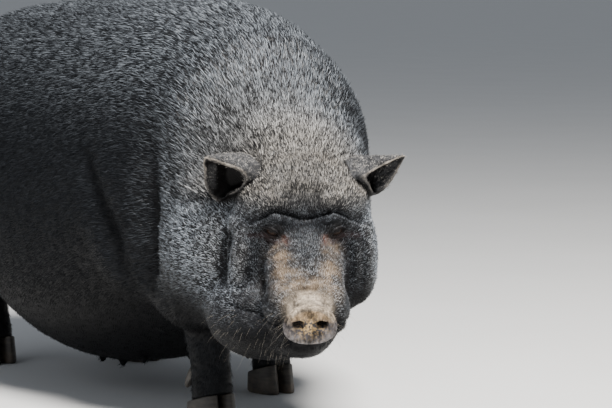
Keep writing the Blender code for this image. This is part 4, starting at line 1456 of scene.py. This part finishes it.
class SOW_OT_skin(bpy.types.Operator):
    """Fuses the flesh into one skin with folds, lids and markings"""

    bl_idname = "sow.skin"
    bl_label = "Make skin"

    def execute(self, context):
        skin = new_object("skin", flesh_source())
        shape_skin(skin, context.scene.sow_skin)
        skin.data.polygons.foreach_set("use_smooth", [True] * len(skin.data.polygons))
        paint(skin.data)
        unwrap(skin)
        skin.data.materials.clear()
        skin.data.materials.append(skin_material())
        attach(skin, "root")
        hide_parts(*FLESH, "tail")
        return {"FINISHED"}


class SOW_OT_eyes(bpy.types.Operator):
    """Makes two glossy dark eyes under the lids"""

    bl_idname = "sow.eyes"
    bl_label = "Make eyes"

    def execute(self, context):
        for name in EYES:
            place, radius, _ = eye_place(name)
            bm = bmesh.new()
            bmesh.ops.create_uvsphere(bm, u_segments=64, v_segments=40, radius=radius)
            bmesh.ops.rotate(bm, verts=bm.verts, matrix=Matrix.Rotation(math.radians(90), 3, "X"))
            off = []
            for vert in bm.verts:
                out = math.acos(max(-1, min(1, -vert.co.y / radius)))
                off.append(out / 0.75)
                vert.co *= 1 + 0.012 * math.exp(-((out / 0.5) ** 2))
            bm.transform(place)
            mesh = bpy.data.meshes.new(name + "_ball")
            bm.to_mesh(mesh)
            bm.free()
            store(mesh, "iris", "FLOAT", off)
            mesh.polygons.foreach_set("use_smooth", [True] * len(mesh.polygons))
            mesh.materials.append(eye_material())
            ball = new_object(name + "_ball", mesh)
            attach(ball, "root")
            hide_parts(name)
        return {"FINISHED"}


class SOW_OT_feet(bpy.types.Operator):
    """Rounds the hooves and dewclaws"""

    bl_idname = "sow.feet"
    bl_label = "Make hooves"

    def execute(self, context):
        material = horn_material()
        for name in HORN:
            bm = bmesh.new()
            bm.from_mesh(frame["nodes"][name].data)
            bmesh.ops.remove_doubles(bm, verts=bm.verts, dist=1e-6)
            bmesh.ops.dissolve_limit(bm, angle_limit=math.radians(1), verts=bm.verts, edges=bm.edges)
            mesh = bpy.data.meshes.new(name + "_horn")
            bm.to_mesh(mesh)
            bm.free()
            horn = new_object(name + "_horn", mesh)
            edge = horn.modifiers.new("edge", "BEVEL")
            edge.width = HOOF_BEVEL if name.startswith("hoof") else DEWCLAW_BEVEL
            edge.segments = 3
            edge.limit_method = "ANGLE"
            edge.angle_limit = math.radians(40)
            apply_modifiers(horn)
            horn.data.shade_smooth()
            horn.data.set_sharp_from_angle(angle=math.radians(45))
            horn.data.materials.clear()
            horn.data.materials.append(material)
            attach(horn, "root")
            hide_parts(name)
        return {"FINISHED"}


class SOW_OT_coat(bpy.types.Operator):
    """Grows the coat of bristles in layers"""

    bl_idname = "sow.coat"
    bl_label = "Grow coat"

    def execute(self, context):
        settings = context.scene.sow_coat
        skin = bpy.data.objects["skin"]
        tufts = bpy.data.collections.new("tufts")
        for i in range(TUFT_SHAPES):
            tufts.objects.link(bpy.data.objects.new(f"tuft_{i}", tuft_mesh(f"tuft_{i}", i, settings)))
        tree = bristle_tree(tufts, bristle_material())
        inputs = {"Density": settings.tufts / covered_area(skin.data)}
        inputs.update({"Lift": settings.lift, "Stray": settings.stray})
        for i in range(settings.layers):
            layer = grow_layer(skin, tree, f"coat_{i}", {**inputs, "Seed": settings.seed + 100 * i})
            keep_in_bounds(layer.data, SOLIDS)
            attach(layer, "root")
        for obj in list(tufts.objects):
            bpy.data.objects.remove(obj)
        bpy.data.collections.remove(tufts)
        return {"FINISHED"}


def random_turn(rng, most):
    """A random change of a heading, up to this much on each axis."""
    return Vector(rng.uniform(-most, most, 3).tolist())


def whisker_hairs(skin, tree, rng):
    """Whiskers of the chin and the lower jaw, as path, radius and place on the map."""
    head = head_frame()
    points = coordinates(skin.data)
    local = within(head, points)
    jaw = (local[:, 2] < -0.085) & (local[:, 1] > -0.080) & (local[:, 1] < 0.020)
    hairs = []
    for side, count in WHISKER_COUNTS:
        places = points[np.flatnonzero(jaw & (side * local[:, 0] > 0.018))]
        for place in places[rng.integers(0, len(places), count)]:
            spot, root, normal = map_at(skin, tree, Vector(place))
            heading = normal + head.to_3x3() @ Vector((side * 0.3, 0.2, -0.7)) + random_turn(rng, 0.35)
            length = float(rng.uniform(0.009, 0.026))
            path = bent_path(root - normal * 0.001, heading, Vector((0, 0, -0.5)), length)
            hairs.append((path, WHISKER_RADIUS, spot))
    return hairs


def lash_hairs(skin, tree, rng):
    """Lashes of both upper lids, as path, radius and place on the map."""
    hairs = []
    for name in EYES:
        place, radius, _ = eye_place(name)
        for i in range(LASHES):
            x = -LASH_REACH + 2 * LASH_REACH * i / (LASHES - 1)
            arch = 1 - (x / SLIT_HALF) ** 2
            guess = place @ Vector((x, -radius - 0.0015, SLIT_AT + SLIT_UP * arch + 0.0010))
            spot, root, normal = map_at(skin, tree, guess)
            heading = place.to_3x3() @ Vector((0.25 * x / LASH_REACH, -1.0, 0.10)) + random_turn(rng, 0.12)
            length = float(rng.uniform(0.006, 0.010))
            path = bent_path(root - normal * 0.0004, heading, Vector((0, 0, -0.35)), length, 4)
            hairs.append((path, LASH_RADIUS, spot))
    return hairs


def tassel_hairs(skin, tree, rng):
    """The long hairs round the end of the tail, as path, radius and place on the map."""
    stations = tail_path()
    hairs = []
    for _ in range(TASSEL_HAIRS):
        x, y, z, radius = stations[int(rng.integers(TASSEL_FROM, TAIL_STEPS))]
        angle = rng.uniform(0, 2 * math.pi)
        out = Vector((math.cos(angle), math.sin(angle), 0))
        start = Vector((x, y, z)) + out * radius * 0.7
        heading = out * 0.30 + Vector((0.08, -0.08, -1))
        path = bent_path(start, heading, Vector((0, 0, -0.3)), float(rng.uniform(0.030, 0.058)))
        hairs.append((path, TASSEL_RADIUS, map_at(skin, tree, start)[0]))
    return hairs


class SOW_OT_whiskers(bpy.types.Operator):
    """Adds chin and muzzle whiskers, lashes and the tail's tassel"""

    bl_idname = "sow.whiskers"
    bl_label = "Add whiskers"

    def execute(self, context):
        skin = bpy.data.objects["skin"]
        tree = BVHTree.FromObject(skin, context.evaluated_depsgraph_get())
        rng = np.random.default_rng(context.scene.sow_coat.seed)
        for name, hairs_of, material, look in (
            ("whiskers", whisker_hairs, "sow_whiskers", {"Base_Color": tone("whisker"), "Roughness": 0.45}),
            ("lashes", lash_hairs, "sow_lashes", {"Base_Color": tone("lash"), "Roughness": 0.4}),
            (
                "tail_tassel",
                tassel_hairs,
                "sow_tassel",
                {"Base_Color": tone("tassel"), "Roughness": 0.50, "Specular_IOR_Level": 0.15},
            ),
        ):
            piece = hair_piece(name, hairs_of(skin, tree, rng), Shader(material).finish(**look))
            keep_in_bounds(piece.data, SOLIDS)
            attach(piece, "root")
        return {"FINISHED"}


class SOW_OT_stage(bpy.types.Operator):
    """Sets the floor, the soft lights and the camera"""

    bl_idname = "sow.stage"
    bl_label = "Set stage"

    def execute(self, context):
        settings = context.scene.sow_stage
        azimuth = math.radians(VIEW_AZIMUTH)
        right = Vector((math.cos(azimuth), -math.sin(azimuth), 0))
        depth = Vector((math.sin(azimuth), math.cos(azimuth), 0))
        up = Vector((0, 0, 1))
        head = head_frame().translation
        bm = bmesh.new()
        bmesh.ops.create_circle(bm, cap_ends=True, segments=96, radius=FLOOR_RADIUS)
        mesh = bpy.data.meshes.new("floor")
        bm.to_mesh(mesh)
        bm.free()
        s = Shader("floor")
        tint = s.mix(s.noise(s.place(), 3.0, 4.0), tone("floor_dark"), tone("floor"))
        mesh.materials.append(s.finish(Base_Color=tint, Roughness=0.9))
        floor = new_object("floor", mesh)
        world = bpy.data.worlds.new("studio")
        context.scene.world = world
        world.use_nodes = True
        background = world.node_tree.nodes["Background"]
        background.inputs["Color"].default_value = tone("sky")
        background.inputs["Strength"].default_value = settings.sky
        for name, (size, colour, (aside, ahead, above)) in LIGHTS.items():
            light = bpy.data.lights.new(name, "AREA")
            light.energy = getattr(settings, name)
            light.size = size
            light.color = colour
            lamp = new_object(name, light)
            offset = right * aside + depth * ahead + up * above
            lamp.location = head + depth * 0.25 + offset
            lamp.rotation_euler = offset.to_track_quat("Z", "Y").to_euler()
        camera = bpy.data.cameras.new("camera")
        camera.sensor_width = SENSOR_WIDTH
        camera.lens = FOCAL_PIXELS * SENSOR_WIDTH / IMAGE_WIDTH
        stand = new_object("camera", camera)
        stand.location = head + VIEW_ASIDE * right - VIEW_DISTANCE * depth
        stand.location.z = VIEW_HEIGHT
        drop = math.radians(VIEW_DROP)
        look = depth * math.cos(drop) - up * math.sin(drop)
        stand.rotation_euler = look.to_track_quat("-Z", "Y").to_euler()
        context.scene.camera = stand
        return {"FINISHED"}


class SOW_PT_panel(bpy.types.Panel):
    """Buttons and settings for the sow"""

    bl_label = "Sow"
    bl_idname = "SOW_PT_panel"
    bl_space_type = "VIEW_3D"
    bl_region_type = "UI"
    bl_category = "Sow"

    def draw(self, context):
        layout = self.layout
        for group in (context.scene.sow_skin, context.scene.sow_coat, context.scene.sow_stage):
            box = layout.box()
            for key in group.__annotations__:
                box.prop(group, key)
        for operator in OPERATORS:
            layout.operator(operator.bl_idname)


OPERATORS = (SOW_OT_skin, SOW_OT_eyes, SOW_OT_feet, SOW_OT_coat, SOW_OT_whiskers, SOW_OT_stage)
CLASSES = (SowSkinSettings, SowCoatSettings, SowStageSettings, *OPERATORS, SOW_PT_panel)


def register():
    for item in CLASSES:
        bpy.utils.register_class(item)
    bpy.types.Scene.sow_skin = PointerProperty(type=SowSkinSettings)
    bpy.types.Scene.sow_coat = PointerProperty(type=SowCoatSettings)
    bpy.types.Scene.sow_stage = PointerProperty(type=SowStageSettings)


def unregister():
    del bpy.types.Scene.sow_stage
    del bpy.types.Scene.sow_coat
    del bpy.types.Scene.sow_skin
    for item in reversed(CLASSES):
        bpy.utils.unregister_class(item)


def main():
    register()
    bpy.ops.sow.skin()
    bpy.ops.sow.eyes()
    bpy.ops.sow.feet()
    bpy.ops.sow.coat()
    bpy.ops.sow.whiskers()
    bpy.ops.sow.stage()


if __name__ == "__main__":
    main()
